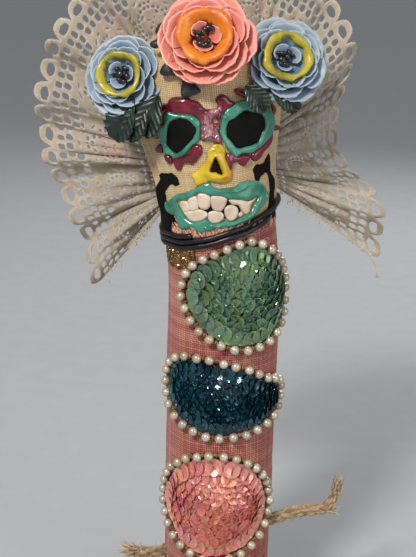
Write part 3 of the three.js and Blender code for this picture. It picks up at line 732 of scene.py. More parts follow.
RIGHT_TOP = ((10.1, 59.7), (12.3, 59.9), (14.9, 59.5), (15.9, 61.2), (18.6, 60.8), (19.7, 59.1), (18.3, 56.3),
             (18.1, 54), (15.5, 54.8), (12.9, 56.4), (10.8, 57.9))
RIGHT_DAB = ((26.6, 51.2), (28.5, 50.7), (30.2, 48.5), (29.8, 46.6), (28.1, 47.7))
RIGHT_SPIKE = ((28, 43.6), (31.4, 42.6), (34.7, 40.6), (32.0, 40.1), (29, 40.6))
RIGHT_BAND = ((28.2, 39.9), (28.5, 36.8), (25.7, 34.2), (22.4, 32.8), (21.1, 31.1), (18.6, 30.4), (16.5, 31.4),
              (16.2, 33.6), (18.8, 35.1), (22, 36.4), (24.9, 38.6), (26.9, 40.2))
NOSE_RIGHT = ((5.9, 36.2), (5.3, 33.2), (5.6, 31.6), (6.3, 29.1), (6.8, 27.9), (7.4, 28.9), (8.3, 31.1), (9.7, 31.7),
              (11.2, 30.3), (12.9, 29.4), (14.2, 30.5), (15.6, 32.2), (15.5, 33.8), (12.4, 34.3), (10, 34),
              (8.4, 35), (7, 35.7))
LEFT_RING = ((-13, 54.4), (-14.3, 53), (-15.5, 49.2), (-18.2, 48.1), (-19.2, 42.9), (-18.5, 39.7), (-18.8, 37.7),
             (-15.6, 36.5), (-15, 35.3), (-10.1, 36.4), (-6.1, 40), (-3.2, 42.1), (-2.5, 45.1), (-2.1, 48.9),
             (-3.3, 50.9), (-7.1, 52.5), (-10.9, 53.4))
LEFT_SOCKET = ((-9, 51.1), (-12.4, 50.2), (-13.9, 48.3), (-14.9, 45.3), (-16, 41.3), (-15.2, 39.3), (-13.1, 37.7),
               (-10.9, 38.4), (-7.7, 41), (-5.6, 43.1), (-4, 45.7), (-4.2, 47.2), (-5.8, 49.7), (-7.3, 50.8))
RIGHT_RING = ((10.2, 54.6), (13.5, 55.2), (16.6, 54.1), (21.1, 53.1), (24.7, 50.2), (27.8, 46.6), (29.5, 42.8),
              (28.7, 39.8), (25.1, 37.4), (20.9, 35.4), (16, 33.9), (12, 34.4), (10, 33.4), (9.2, 33.2), (7, 36),
              (5.3, 39), (4.4, 41.9), (3.6, 44.7), (4.6, 47.9), (5.4, 50.8), (7, 52.9), (8.7, 53.7))
RIGHT_SOCKET = ((13.9, 50.9), (11.2, 49.9), (9.7, 49), (7.2, 47.5), (6.4, 45.4), (6.5, 42.3), (7.9, 40.1),
                (10.4, 37), (13.7, 37), (16.7, 37.2), (19.6, 38), (21, 40.9), (22.8, 42.8), (22.7, 45.1),
                (21.3, 47.7), (18.8, 49.5), (15.8, 50.2))
NOSE = ((2.9, 40.1), (1.5, 39.9), (0, 38.6), (-1.1, 37.6), (-1.6, 34.9), (-3.7, 32), (-6.3, 30.2), (-8.8, 28.5),
        (-8.1, 26.7), (-7.3, 23.9), (-4, 24.8), (-1.5, 25.4), (0.8, 24.7), (4.3, 24.1), (6.8, 25.1), (7.8, 26.9),
        (7.3, 29.4), (6.4, 31.5), (5.4, 34), (5.6, 37), (4.6, 39.1))
NOSTRIL = ((1.6, 34.7), (0.3, 32.3), (-0.8, 29.5), (1.6, 28.6), (3.6, 27.5), (2.9, 30.8), (2.2, 33.2))
NOSE_BEAD = ((1.8, 36.2), (-0.6, 33.2), (-2.9, 29.5), (-1.4, 26.4), (2.1, 25.9), (5.7, 26.5), (6.4, 28.0),
             (4.9, 31.7), (3, 35.6))
LIP_FLAP = ((-26.3, 17), (-22.1, 18.2), (-18.2, 20.3), (-17.2, 17.8), (-19.5, 12.3), (-22.8, 12.6), (-25.8, 14.3))
LIPS = ((-17.8, 20.7), (-13.5, 21.6), (-9.2, 22.7), (-5.6, 24.5), (-1.9, 25.2), (-0.9, 23.7), (1.3, 22.3),
        (4.1, 22.1), (7.8, 22.1), (10.9, 23.2), (14.6, 23.5), (18.7, 22.7), (22.3, 20.6), (24.8, 17.2), (25.2, 14.7),
        (22.6, 12.8), (17.9, 10.1), (14.2, 8), (9.5, 6.8), (5.8, 6.1), (2.9, 5.7), (-1.5, 6.1), (-5.4, 5.2),
        (-9.2, 5.1), (-11.5, 7.1), (-15.1, 6.3), (-17.9, 7.3), (-18.3, 10), (-19.4, 12.8), (-18.9, 17))
MOUTH = ((-17, 18.1), (-12.7, 18.4), (-9.7, 19.9), (-6.9, 21.4), (-4.5, 20.8), (-1.4, 19.8), (1.8, 19.2), (4.4, 17.7),
         (8.9, 16.7), (12.4, 15.7), (15.4, 15.9), (18.4, 16.1), (17.6, 14.9), (15.6, 13.5), (14.3, 11.3),
         (11.8, 10.2), (9.1, 9.4), (6.1, 8.4), (3.1, 8.9), (0.5, 8.6), (-2.8, 8.9), (-5, 10.8), (-7.6, 9.9),
         (-11.2, 10), (-13.7, 11.8), (-15.3, 14.2))
TOOTH_GAPS = ((-10.5, 14.6), (-8.2, 16.0), (-4.0, 17.2), (2.0, 17.6), (5.0, 17.4), (9.2, 15.2), (9.6, 12.0),
              (7.0, 10.0), (3.0, 10.2), (0.0, 11.0), (-3.5, 12.0), (-6.5, 13.8))
UPPER_TEETH = (
    ((-15.5, 18.1), (-12.1, 18.3), (-10.9, 14.6), (-13, 13.4), (-14.6, 13.6)),
    ((-11.8, 18.9), (-7.9, 20.0), (-7.3, 15.3), (-8.1, 14.4), (-10.6, 13.9), (-11.4, 15.1)),
    ((-7.1, 20.8), (-5.5, 21.3), (-2.2, 19.6), (-2.6, 15.5), (-4.5, 14.3), (-7.0, 15.2)),
    ((-1.7, 19.6), (1, 19.7), (4.6, 18.0), (3.4, 14.8), (1.4, 13), (-1.4, 13.9), (-2.2, 15.8)),
    ((5, 17.4), (10.2, 16.7), (13.3, 15.5), (18.4, 16.1), (14.6, 13.9), (13.7, 11), (11.6, 10.2), (9.8, 12.5),
     (8.7, 14.4), (6.2, 15.2)),
)
LOWER_TEETH = (
    ((-14.6, 13.7), (-10.5, 14.3), (-7, 14.8), (-3.8, 12.8), (-4.3, 11.5), (-6.7, 10.0), (-11.2, 9.8), (-13.4, 11.8)),
    ((-3.6, 13.2), (-1.3, 13.8), (1.9, 12.7), (2.6, 10.9), (0.6, 8.8), (-2.9, 8.7), (-4.2, 11.1)),
    ((3.0, 14.1), (5.4, 15.3), (8.3, 13.9), (8.7, 11.9), (7.4, 9.5), (4.8, 8.6), (3.0, 10.7)),
    ((8.5, 11.2), (9.7, 11.6), (10.7, 10.6), (9.6, 9.5), (8.4, 10)),
)
LEFT_CHEEK = ((-27.9, 26.1), (-24.8, 28.9), (-19.6, 29.4), (-17, 29.3), (-15.2, 26.9), (-14.9, 25.2), (-16.9, 24.2),
              (-20.1, 24.7), (-22.8, 22.4), (-25.1, 20.6), (-25.5, 18.1), (-23.4, 12.9), (-20.7, 11.5), (-21.1, 8.4),
              (-25.5, 4.8), (-34, 3.5), (-35, 12), (-32.5, 20))
RIGHT_CHEEK = ((17.2, 27.6), (19.3, 29.1), (23, 28.6), (27.5, 32.0), (29.3, 29.8), (30.5, 22.9), (33.0, 19.1),
               (31.4, 14.8), (33, 9), (31, 5.3), (27.7, 5.6), (26.0, 11.7), (28.0, 17.2), (27.0, 23.8),
               (22.4, 23.8), (20.4, 22.2), (18.2, 23), (17.7, 25.5))


def make_face(paints):
    teal, crimson, yellow, black, tooth = (paints[k] for k in ("teal", "crimson", "yellow", "black", "tooth"))
    seam = ((-1.9, 25.2), (-1.3, 23.6), (0.2, 22.0), (3.0, 21.2), (6.5, 20.6), (9.5, 20.4), (12.4, 21.6))
    paint_piece("lips_paint", teal, "teal_paint", ["lips"],
                [(LIPS, 1.5, 1.7), (LIP_FLAP, 1.15, 1.5)], holes=[MOUTH], rough=0.14, seed=5,
                ridges=[(seam, 0.35, 0.45), (((7.5, 21.2), (9.6, 21.7), (11.5, 20.7), (13.2, 22.0)), 0.3, 0.35),
                        (((-5.4, 7.2), (-3.6, 6.4), (-2.6, 8.2), (-1.2, 7.4)), 0.32, 0.5),
                        (((-0.5, 7.2), (2.0, 7.9), (4.5, 7.2), (8.0, 7.9), (11.5, 8.6)), 0.35, 0.45),
                        (((22.8, 17.8), (23.4, 16.2), (22.9, 14.8)), 0.5, 0.3),
                        (((-17.6, 20.4), (-17.4, 15.0), (-18.2, 10.0)), 0.28, -0.55)])
    paint_piece("mouth_black", black, "black_paint", [], [(TOOTH_GAPS, 0.25, 0.5)], skin=0.0)
    for k, outline in enumerate(UPPER_TEETH, 1):
        paint_piece(f"upper_tooth_{k}", tooth, "tooth_paint", [f"tooth_upper_{k}"],
                    [(outline, 1.15, 1.2)], rough=0.06, seed=20 + k, pitch=0.25, skin=0.1)
    for k, outline in enumerate(LOWER_TEETH, 1):
        paint_piece(f"lower_tooth_{k}", tooth, "tooth_paint", [f"tooth_lower_{k}"],
                    [(outline, 1.0 if k < 4 else 0.6, 1.1)], rough=0.06, seed=30 + k, pitch=0.25, skin=0.1)
    paint_piece("nose_paint", yellow, "yellow_paint", ["nose"], [(NOSE, 1.1, 1.4), (NOSE_BEAD, 1.9, 1.1)],
                holes=[NOSTRIL], seed=8, skin=0.12,
                ridges=[(NOSE_BEAD + NOSE_BEAD[:1], 0.45, 0.35), (((-0.4, 37.2), (1.4, 37.9), (3.2, 37.0)), 0.4, 0.25)],
                streaks_and_highlights=[((6.8, 28.4), (1.1, 2.2)), ((4.6, 26.2), (1.8, 0.7))])
    paint_piece("nostril_black", black, "black_paint", [], [(NOSTRIL, 0.25, 0.5)], skin=0.0, rough=0.0)
    for side, ring, socket in (("left", LEFT_RING, LEFT_SOCKET), ("right", RIGHT_RING, RIGHT_SOCKET)):
        notes = {
            "left": [(((-15.9, 49.0), (-16.8, 46.0), (-17.2, 43.4), (-16.8, 41.0)), 0.4, 0.4),
                     (((-4.6, 50.4), (-3.6, 49.2), (-3.3, 47.6)), 0.35, 0.35)],
            "right": [(((3.9, 45.4), (4.9, 41.6), (6.4, 38.3), (8.6, 35.2), (9.4, 33.6)), 0.35, 0.45),
                      (((7.0, 38.0), (8.8, 36.4), (9.4, 34.6), (11.2, 35.4)), 0.3, 0.4),
                      (((5.4, 50.6), (6.0, 49.4), (6.6, 50.2), (6.3, 51.6)), 0.3, 0.4),
                      (((25.2, 49.2), (27.4, 46.4), (28.6, 43.4)), 0.4, 0.3)],
        }
        paint_piece(f"{side}_eye_ring", teal, "teal_paint", [f"eye_ring_{side}"], [(ring, 1.15, 1.2)],
                    holes=[socket], seed=40, rough=0.16, ridges=notes[side])
        paint_piece(f"{side}_eye_socket", black, "black_paint", [f"eye_socket_{side}"], [(socket, 0.45, 0.6)],
                    rough=0.1, seed=50, skin=0.05)
    bridge = [(((-2.4, 47.6), (-0.6, 48.6), (0.9, 47.3), (2.6, 45.2), (4.0, 42.6)), 0.32, 0.5),
              (((-2.6, 44.6), (-0.8, 46.1), (0.6, 44.4), (-0.8, 43.0), (-2.0, 43.8)), 0.32, 0.5),
              (((0.2, 52.6), (1.2, 50.2), (1.3, 48.0), (2.5, 46.6), (3.9, 45.8)), 0.35, 0.5),
              (((-1.6, 42.8), (0.6, 43.6), (2.0, 42.4), (3.4, 43.4)), 0.3, 0.4),
              (((2.6, 52.4), (3.6, 50.8), (3.4, 53.2), (4.8, 52.2), (5.4, 51.4)), 0.32, 0.5),
              (((-11.5, 57.0), (-9.0, 57.6), (-6.5, 57.3), (-4.4, 55.9), (-2.4, 54.2)), 0.8, 0.3),
              (((-1.0, 51.8), (-0.6, 49.6), (-1.6, 47.8)), 0.3, 0.4)]
    # The streaks on the left border are painted highlights on the wrinkled paint of the bridge
    paint_piece("left_eye_border", crimson, "crimson_paint", ["eye_border_left"],
                [(LEFT_ARCH, 1.5, 1.7)] + [(lobe, 1.5, 1.6) for lobe in LEFT_LOBES] + [(LEFT_LOWER, 1.5, 1.7)],
                holes=[BARE_DOT], seed=60, ridges=bridge, skin=0.1,
                streaks_and_highlights=[((0.3, 46.5), (2.6, 4.6)), ((3.6, 52.6), (2.2, 1.7)), ((3.0, 43.0), (1.6, 2.0))])
    dark = [(((16.6, 60.2), (16.2, 58.4), (17.4, 58.0), (17.4, 60.2)), 0.28, 0.45),
            (((11.6, 33.4), (13.4, 33.0), (14.9, 32.4)), 0.35, 0.35),
            (((6.3, 34.6), (6.6, 32.4), (7.6, 33.6), (7.3, 31.4)), 0.3, 0.45)]
    # The streaks on the right border are painted highlights
    paint_piece("right_eye_border", crimson, "crimson_paint", ["eye_border_right"],
                [(RIGHT_TOP, 1.6, 1.7), (RIGHT_DAB, 1.3, 1.4), (RIGHT_SPIKE, 1.3, 1.4), (RIGHT_BAND, 1.5, 1.7),
                 (NOSE_RIGHT, 1.4, 1.5)], seed=70, ridges=dark, skin=0.1,
                streaks_and_highlights=[((16.6, 59.6), (1.4, 1.2)), ((7.2, 33.4), (1.2, 1.6))])
    paint_piece("left_cheek_black", black, "black_paint", [], [(LEFT_CHEEK, 0.2, 0.6)], seed=80, rough=0.3, skin=0.0)
    paint_piece("right_cheek_black", black, "black_paint", [], [(RIGHT_CHEEK, 0.2, 0.6)], seed=81, rough=0.3,
                skin=0.0)


# The neck: waxed cord wound over the collar, with a scrap of glitter cloth under it
def make_neck_cord(material):
    turn = np.linspace(0, CORD_TURNS, round(CORD_TURNS * 140))
    angle = math.radians(-100) + turn * TURN
    lay = BODY_RADIUS + CORD_RADIUS
    rise = 6.3 + 0.15 * lay * np.sin(angle) - 0.13 * lay * np.cos(angle)
    z = rise + (turn - CORD_TURNS / 2) * CORD_PITCH + 0.2 * np.sin(5 * angle + 1) + 0.12 * np.sin(11 * angle)
    local = head_local(angle * FACE_RADIUS, z, 0 * z, head_surface_half(z))
    on_head = np.hypot(local[:, 0], local[:, 1])
    radius = mix(np.full(len(z), NECK_RADIUS), on_head + 0.3, smoothstep(0.5, 3.0, z - collar_top(angle)))
    radius = radius + CORD_RADIUS + 0.1 + 0.08 * np.sin(7 * angle)
    path = to_world(np.stack([radius * np.sin(angle), -radius * np.cos(angle), z], -1))
    a, b, _ = frames_along(path)
    ring = np.arange(12) / 12 * TURN
    way = np.linspace(0, 1, len(path)) * length_of(path)
    swell = 1 + 0.07 * np.sin(3 * ring[None] + way[:, None] * TURN / 4.5)
    around = a[:, None] * np.cos(ring)[None, :, None] + b[:, None] * np.sin(ring)[None, :, None]
    points, faces = loft(path[:, None] + around * (CORD_RADIUS * swell)[..., None])
    dress(Shape().add(points, faces), "waxed_cord", material, "waxed_cord", "neck_cord")


def make_glitter_scrap(cloth, flake):
    rows, columns = 24, 36
    s = np.linspace(-29, -11.5, columns)
    low = 169.2 + 0.5 * np.sin(s * 1.3) + 0.3 * np.sin(s * 3.7)
    high = 179.7 + 0.2 * s * 0.3
    z = mix(low[None], high[None], np.linspace(0, 1, rows)[:, None])
    lift = 0.55 + 0.25 * wobble(np.stack([s + 0 * z, z], -1), 3.0, 9)
    obj = dress(Shape().add(*slab(body_point(s, z, lift + 0.5), body_point(s, z, lift))), "glitter_scrap", cloth,
                "glitter", "glitter_tab")
    random = np.random.default_rng(5)
    shape = Shape()
    for _ in range(650):
        at = (random.uniform(-28.8, -11.7), random.uniform(169.6, 178.5))
        centre = body_point(at[0], at[1], 1.3)
        angle = random.uniform(0, TURN)
        tilt = random.normal(0, 0.5, 3)
        out = np.array([math.sin(at[0] / BODY_RADIUS), -math.cos(at[0] / BODY_RADIUS), 0.0]) + tilt
        out /= np.linalg.norm(out)
        side = np.cross(out, [0, 0, 1])
        side /= np.linalg.norm(side)
        rise = np.cross(out, side)
        size = random.uniform(0.16, 0.32)
        corners = angle + np.arange(6) * TURN / 6
        ring = centre + size * (np.cos(corners)[:, None] * side + np.sin(corners)[:, None] * rise)
        shape.add(*loft([ring, ring + 0.05 * out]), tint=np.full(14, random.uniform(0, 1)))
    flakes = dress(shape, "gold_glitter", flake, "glitter", smooth=False)


# Lace: one strip of bobbin lace, gathered along its footing and sewn round the back of the head
LACE_TILE = 32.0
LACE_TILES = 13
LACE_WIDTH = 54.0
SCALLOPS = 3
SCALLOP_PITCH = LACE_TILE / SCALLOPS
LACE_THICKNESS = 0.6
MOTIF = (16.0, 19.0)
LACE_SEAM = ((-46, 8.5), (-47.5, 16), (-48.5, 27), (-50, 42), (-54, 57), (-63, 70), (-78.5, 76), (-93, 70),
             (-102, 57), (-106.5, 42), (-108, 30), (-109, 21), (-110.5, 15))
LACE_OUTER = ((-57, 15, 150), (-62, 15, 172), (-72, 15, 193), (-80, 16, 215), (-81, 17, 238), (-74, 18, 260),
              (-58, 19, 281), (-34, 20, 292), (-8, 20, 294), (18, 20, 290), (40, 19, 278), (52, 17, 254),
              (46, 16, 233), (50, 15, 209), (66, 15, 193), (68, 14, 165))


def spline_at(points, share):
    """The spline through points at a share of its control points, not of its length."""
    points = np.asarray(points, float)
    dense = knotted(points, 24)
    at = np.clip(share, 0, 1) * (len(dense) - 1)
    return np.stack([np.interp(at, np.arange(len(dense)), dense[:, k]) for k in range(points.shape[1])], -1)


def scallop_height(x):
    """The outer edge of the strip: round scallops with narrow notches."""
    share = np.abs(2 * ((x / SCALLOP_PITCH) % 1) - 1)
    return LACE_WIDTH - 6.2 * share ** 3.2


def trail_height(x):
    """The middle of the cloth trail that winds round the flower motifs."""
    return 29.0 - 5.0 * np.cos(TURN * x / LACE_TILE)


def lace_hole(random, x, y, half_x, half_y, turn=0.0, square=2.6, corners=10):
    """A hole between threads: a rounded box, a little uneven."""
    angle = (np.arange(corners) + random.uniform(-0.15, 0.15, corners)) / corners * TURN
    size = (np.abs(np.cos(angle)) ** square + np.abs(np.sin(angle)) ** square) ** (-1 / square)
    size = size * random.uniform(0.88, 1.08, corners)
    px, py = half_x * size * np.cos(angle), half_y * size * np.sin(angle)
    cos, sin = math.cos(turn), math.sin(turn)
    return np.stack([x + px * cos - py * sin, y + px * sin + py * cos], -1)


def lace_tile_holes(random):
    holes = []

    def cut(x, y, half_x, half_y, turn=0.0, square=2.6, corners=10):
        if half_x + 0.4 < x < LACE_TILE - half_x - 0.4:
            holes.append(lace_hole(random, x, y, half_x, half_y, turn, square, corners))

    for k in range(11):
        cut(1.45 + 2.91 * k, 2.2, 0.75, 0.6)
    for k in range(8):
        cut(2 + 4 * k, 5.4, 1.1, 0.75)
    cx, cy = MOTIF
    for k in range(20):
        angle = (k + 0.5) / 20 * TURN
        cut(cx + 8.6 * math.cos(angle), cy + 8.6 * math.sin(angle), 0.8, 1.0, angle)
    for k in range(26):
        angle = (k + 0.5) / 26 * TURN
        x, y = cx + 11.0 * math.cos(angle), cy + 11.0 * math.sin(angle)
        if y > 9.5 and y < trail_height(x) - 3.4:
            cut(x, y, 0.75, 0.95, angle)
    for k in range(4):
        angle = (k + 0.5) / 4 * TURN
        cut(cx + 6.5 * math.cos(angle), cy + 6.5 * math.sin(angle), 0.75, 1.25, angle)
        cut(cx + 3.1 * math.cos(angle), cy + 3.1 * math.sin(angle), 0.95, 0.28, angle, corners=8)
    cut(cx, cy, 0.95, 0.42, corners=8)
    for x, y in ((2.2, 12), (2.6, 16), (2.0, 20), (29.6, 13), (29.8, 17.5), (30.0, 21)):
        cut(x, y, 0.45, 1.15, random.uniform(-0.3, 0.3), corners=8)
    for x in (5.5, 11.0, 15.0, 21.5, 27.0):
        slope = 5.0 * TURN / LACE_TILE * math.sin(TURN * x / LACE_TILE)
        cut(x, trail_height(x) + random.uniform(-0.6, 0.6), 1.5, 0.35, math.atan(slope), corners=8)
    columns = 7
    for j in range(4):
        y = 43.2 - 4.35 * j
        for i in range(columns):
            x = (i + 0.5 + 0.22 * (j % 2)) * LACE_TILE / columns
            room = y - 1.9 - trail_height(x) - 3.0
            if room > 0:
                cut(x, y, 1.45, 1.85, random.uniform(-0.12, 0.12), 3.2, 12)
            elif room > -1.9:
                cut(x, y + 0.95 - room / 4, 1.3, 0.9, random.uniform(-0.1, 0.1), 3.0)
    for k in range(SCALLOPS):
        cut((k + 0.5) * SCALLOP_PITCH, 49.0, 3.05, 2.1, 0.0, 2.2, 16)
    return holes


def lace_tile(random):
    """One repeat of the lace, flat: its points and triangles, with the same points on both its cut sides."""
    step = 1.45
    side = np.arange(0, scallop_height(0.0) - 0.7, step)
    left = [(0.0, y) for y in side]
    right = [(LACE_TILE, y) for y in side]
    foot = [(x, 0.0) for x in np.linspace(0, LACE_TILE, 20)[1:-1]]
    edge_x = np.linspace(0, LACE_TILE, SCALLOPS * 22 + 1)
    picot = np.where(np.arange(len(edge_x)) % 2 == 1, 0.42, 0.0)
    edge = [(x, scallop_height(x) + p) for x, p in zip(edge_x, picot)]
    outline = np.array(left[:1] + foot + right + edge[::-1] + left[:0:-1])
    holes = lace_tile_holes(random)
    gx, gy = np.meshgrid(np.arange(1.2, LACE_TILE - 0.8, step), np.arange(1.0, LACE_WIDTH, step))
    gx = gx + 0.5 * step * (np.arange(len(gx)) % 2)[:, None]
    inner = np.stack([gx, gy], -1).reshape(-1, 2)
    keep = line_distance(inner, outline, True) > 0.55
    for hole in holes:
        centre, reach = hole.mean(0), np.abs(hole - hole.mean(0)).max() + 1.5
        near = keep & (np.abs(inner - centre).max(1) < reach)
        keep[near] = line_distance(inner[near], hole, True) < -0.42
    inner = inner[keep]
    points, edges, start = [outline], [], 0
    for ring in [outline] + holes:
        count = len(ring)
        edges += [(start + k, start + (k + 1) % count) for k in range(count)]
        start += count
    points = np.concatenate([outline] + holes + [inner])
    flat, _, faces, *_ = delaunay_2d_cdt([Vector(p) for p in points], edges, [], 0, 1e-6)
    flat = np.array([tuple(p) for p in flat])
    faces = np.array([f for f in faces if len(f) == 3])
    middle = flat[faces].mean(1)
    solid = line_distance(middle, outline, True) > 0
    for hole in holes:
        centre, reach = hole.mean(0), np.abs(hole - hole.mean(0)).max() + 0.1
        near = solid & (np.abs(middle - centre).max(1) < reach)
        solid[near] = line_distance(middle[near], hole, True) < 0
    faces = faces[solid]
    a, b, c = (flat[faces[:, k]] for k in range(3))
    area = (b[:, 0] - a[:, 0]) * (c[:, 1] - a[:, 1]) - (b[:, 1] - a[:, 1]) * (c[:, 0] - a[:, 0])
    faces = np.where(area[:, None] < 0, faces[:, ::-1], faces)
    return flat, faces[np.abs(area) > 1e-5]


def merge(points, faces, step=0.01):
    keys = np.round(points / step).astype(np.int64)
    _, first, index = np.unique(keys, axis=0, return_index=True, return_inverse=True)
    return points[first], index.reshape(-1)[faces]


def lace_strip():
    random = np.random.default_rng(21)
    points, faces, count = [], [], 0
    for k in range(LACE_TILES):
        flat, triangles = lace_tile(random)
        points.append(flat + np.array([k * LACE_TILE, 0]))
        faces.append(triangles + count)
        count += len(flat)
    return merge(np.concatenate(points), np.concatenate(faces))


# Gathers of the strip: [share of the length, how far they bunch, depth at the seam]
LACE_BUNCHES = ((0.06, 0.6, 1.0), (0.19, 0.9, 1.4), (0.33, 0.6, 1.0), (0.52, 0.5, 0.8), (0.66, 0.6, 1.0),
                (0.80, 0.9, 1.4), (0.93, 0.5, 0.9))


def lace_length_table():
    share = np.linspace(0, 1, 600)
    outer = spline_at(LACE_OUTER, share)
    way = np.concatenate([[0], np.cumsum(np.linalg.norm(np.diff(outer, axis=0), axis=1))])
    return share, way / way[-1]


def lace_surface(flat):
    """Where a point of the flat strip lies on the doll."""
    x, y = flat[:, 0] / (LACE_TILE * LACE_TILES), flat[:, 1] / LACE_WIDTH
    share, way = lace_length_table()
    inner = np.clip(1 - y, 0, 1)
    bunched = x.copy()
    pleat = 0 * x
    for centre, pull, depth in LACE_BUNCHES:
        near = np.exp(-(((x - centre) / 0.045) ** 2))
        bunched -= 0.010 * pull * (x - centre) / 0.045 * near * inner
        pleat += depth * near
    u = np.interp(bunched, way, share)
    seam = spline_at(LACE_SEAM, u)
    foot = head_point(seam[:, 0], seam[:, 1], 1.4)
    rim = spline_at(LACE_OUTER, u)
    p = foot + (rim - foot) * np.clip(y, 0, 1.05)[:, None]
    folds = 13
    broad = 4.5 * (0.2 + 0.8 * y) * np.sin(u * folds * TURN + 3 * y)
    phase = 5.0 * wobble(np.stack([x * 14, 0 * x], -1), 1.0, 31)
    small = (0.75 + 0.75 * pleat) * inner ** 0.7 * np.sin(x * TURN * 46 + phase + 1.5 * y)
    medium = 1.3 * np.sin(x * TURN * 23 + phase) * (0.4 + 0.6 * inner) * smoothstep(0.0, 0.2, y)
    crumple = 0.5 * wobble(flat, 11.0, 33) + 0.15 * wobble(flat, 4.5, 34)
    depth = broad + small + medium + crumple * smoothstep(0, 0.1, y)
    p[:, 1] += depth
    along = 0.4 * (0.4 + pleat) * inner * np.cos(x * TURN * 46 + phase)
    direction = spline_at(LACE_OUTER, np.minimum(u + 0.01, 1)) - spline_at(LACE_OUTER, np.maximum(u - 0.01, 0))
    direction /= np.linalg.norm(direction, axis=1, keepdims=True)
    return p + direction * along[:, None]


def lace_normals(flat):
    step = 0.2
    ahead, back = (lace_surface(flat + np.array([s, 0])) for s in (step, -step))
    above, below = (lace_surface(flat + np.array([0, s])) for s in (step, -step))
    normal = np.cross(ahead - back, above - below)
    return normal / np.maximum(np.linalg.norm(normal, axis=1, keepdims=True), 1e-9)


def boundary_edges(faces):
    pairs = np.concatenate([faces[:, [0, 1]], faces[:, [1, 2]], faces[:, [2, 0]]])
    key = np.sort(pairs, 1)
    _, index, count = np.unique(key, axis=0, return_inverse=True, return_counts=True)
    return pairs[count[index.reshape(-1)] == 1]


def make_lace(material):
    flat, faces = lace_strip()
    middle, normal = lace_surface(flat), lace_normals(flat)
    edge = boundary_edges(faces)
    rim = np.zeros(len(flat), bool)
    rim[edge.ravel()] = True
    half = np.where(rim, 0.24, 0.5 * LACE_THICKNESS)[:, None]
    count = len(flat)
    wall = np.stack([edge[:, 1], edge[:, 0], edge[:, 0] + count, edge[:, 1] + count], -1)
    front = faces if normal[:, 1].mean() < 0 else faces
    points = np.concatenate([middle + normal * half, middle - normal * half])
    place = np.concatenate([flat, flat])
    place = np.concatenate([place, np.zeros((len(place), 1))], 1)
    stain = np.exp(-(((flat - np.array([75.0, 17.0])) / 6.5) ** 2).sum(1))
    shape = Shape().add(points, [front, front[:, ::-1] + count, wall], weave=place,
                        rim=np.tile(rim.astype(float), 2), stain=np.tile(stain, 2))
    obj = dress(shape, "bobbin_lace", material, "lace", "lace_veil")
    threads = make_lace_threads(material)


def make_lace_threads(material):
    """Loose ends at the two cut sides of the strip."""
    random = np.random.default_rng(8)
    shape = Shape()
    length = LACE_TILE * LACE_TILES
    for k in range(56):
        at_end = k % 2
        y = random.uniform(1, LACE_WIDTH - 5)
        start = lace_surface(np.array([[length * at_end - (2 * at_end - 1) * 0.6, y]]))[0]
        reach = random.uniform(1.0, 3.0)
        path = loose_end(random, start, reach)
        shape.add(*tube(path, np.linspace(0.32, 0.14, len(path)), 5))
    tail = lace_surface(np.array([[length - 0.5, LACE_WIDTH - 6]]))[0]
    path = curve([tail, tail + (2.0, 0, -3), tail + (3.6, 0.4, -6.5), tail + (4.2, 0.2, -9.5)], 12)
    shape.add(*tube(path, np.linspace(0.55, 0.4, len(path)), 6))
    for _ in range(9):
        shape.add(*tube(loose_end(random, path[-1], 1.6), 0.14, 4))
    return dress(shape, "lace_cut_threads", material, "lace")


def loose_end(random, start, reach):
    aim = np.array([random.normal(0, 0.5), random.normal(0, 0.3), -1.0])
    curl = random.normal(0, 0.35, (4, 3))
    steps = np.arange(5)[:, None] / 4
    path = start + aim * reach * steps
    path[1:] += curl * reach * 0.5
    return curve(path, 8)


# Flowers: petals in whorls, [count, foot reach, tip reach, foot height, tip height, half width, turn, curl]
WHORLS = (
    (6, 0.34, 1.00, 0.06, 0.27, 0.66, 0.0, 0.10),
    (6, 0.30, 0.93, 0.13, 0.36, 0.58, 0.5, 0.12),
    (5, 0.27, 0.80, 0.20, 0.45, 0.66, 0.2, 0.13),
    (5, 0.25, 0.68, 0.24, 0.51, 0.62, 0.7, 0.12),
    (5, 0.22, 0.55, 0.26, 0.54, 0.66, 0.1, 0.08),
    (3, 0.05, 0.33, 0.27, 0.47, 0.85, 0.4, 0.05),
)
FLOWERS = {
    "left": (16.6, (-31, -16, 69.5), (-0.24, -0.9, 0.3)),
    "centre": (19.0, (3.3, -26.5, 80.5), (0, -0.92, 0.38)),
    "right": (17.6, (33, -16, 68.5), (0.24, -0.88, 0.34)),
}


def flower_frame(name):
    """The flower's foot and its three directions, out of the head last, in the row's frame."""
    radius, centre, facing = FLOWERS[name]
    origin = to_world(np.zeros(3))
    out = to_world(np.array(facing, float)) - origin
    out /= np.linalg.norm(out)
    foot = to_world(np.array(centre, float)) - 0.4 * radius * out
    side = np.cross([0, 0, 1], out)
    side /= np.linalg.norm(side)
    side = -side
    rise = np.cross(side, out)
    rise = rise if rise[2] > 0 else -rise
    return radius, foot, np.stack([side, rise, out])


def on_flower(name, reach, angle, height):
    radius, foot, axes = flower_frame(name)
    flat = np.stack([reach * np.cos(angle), reach * np.sin(angle), height + 0 * reach], -1) * radius
    return foot + flat @ axes


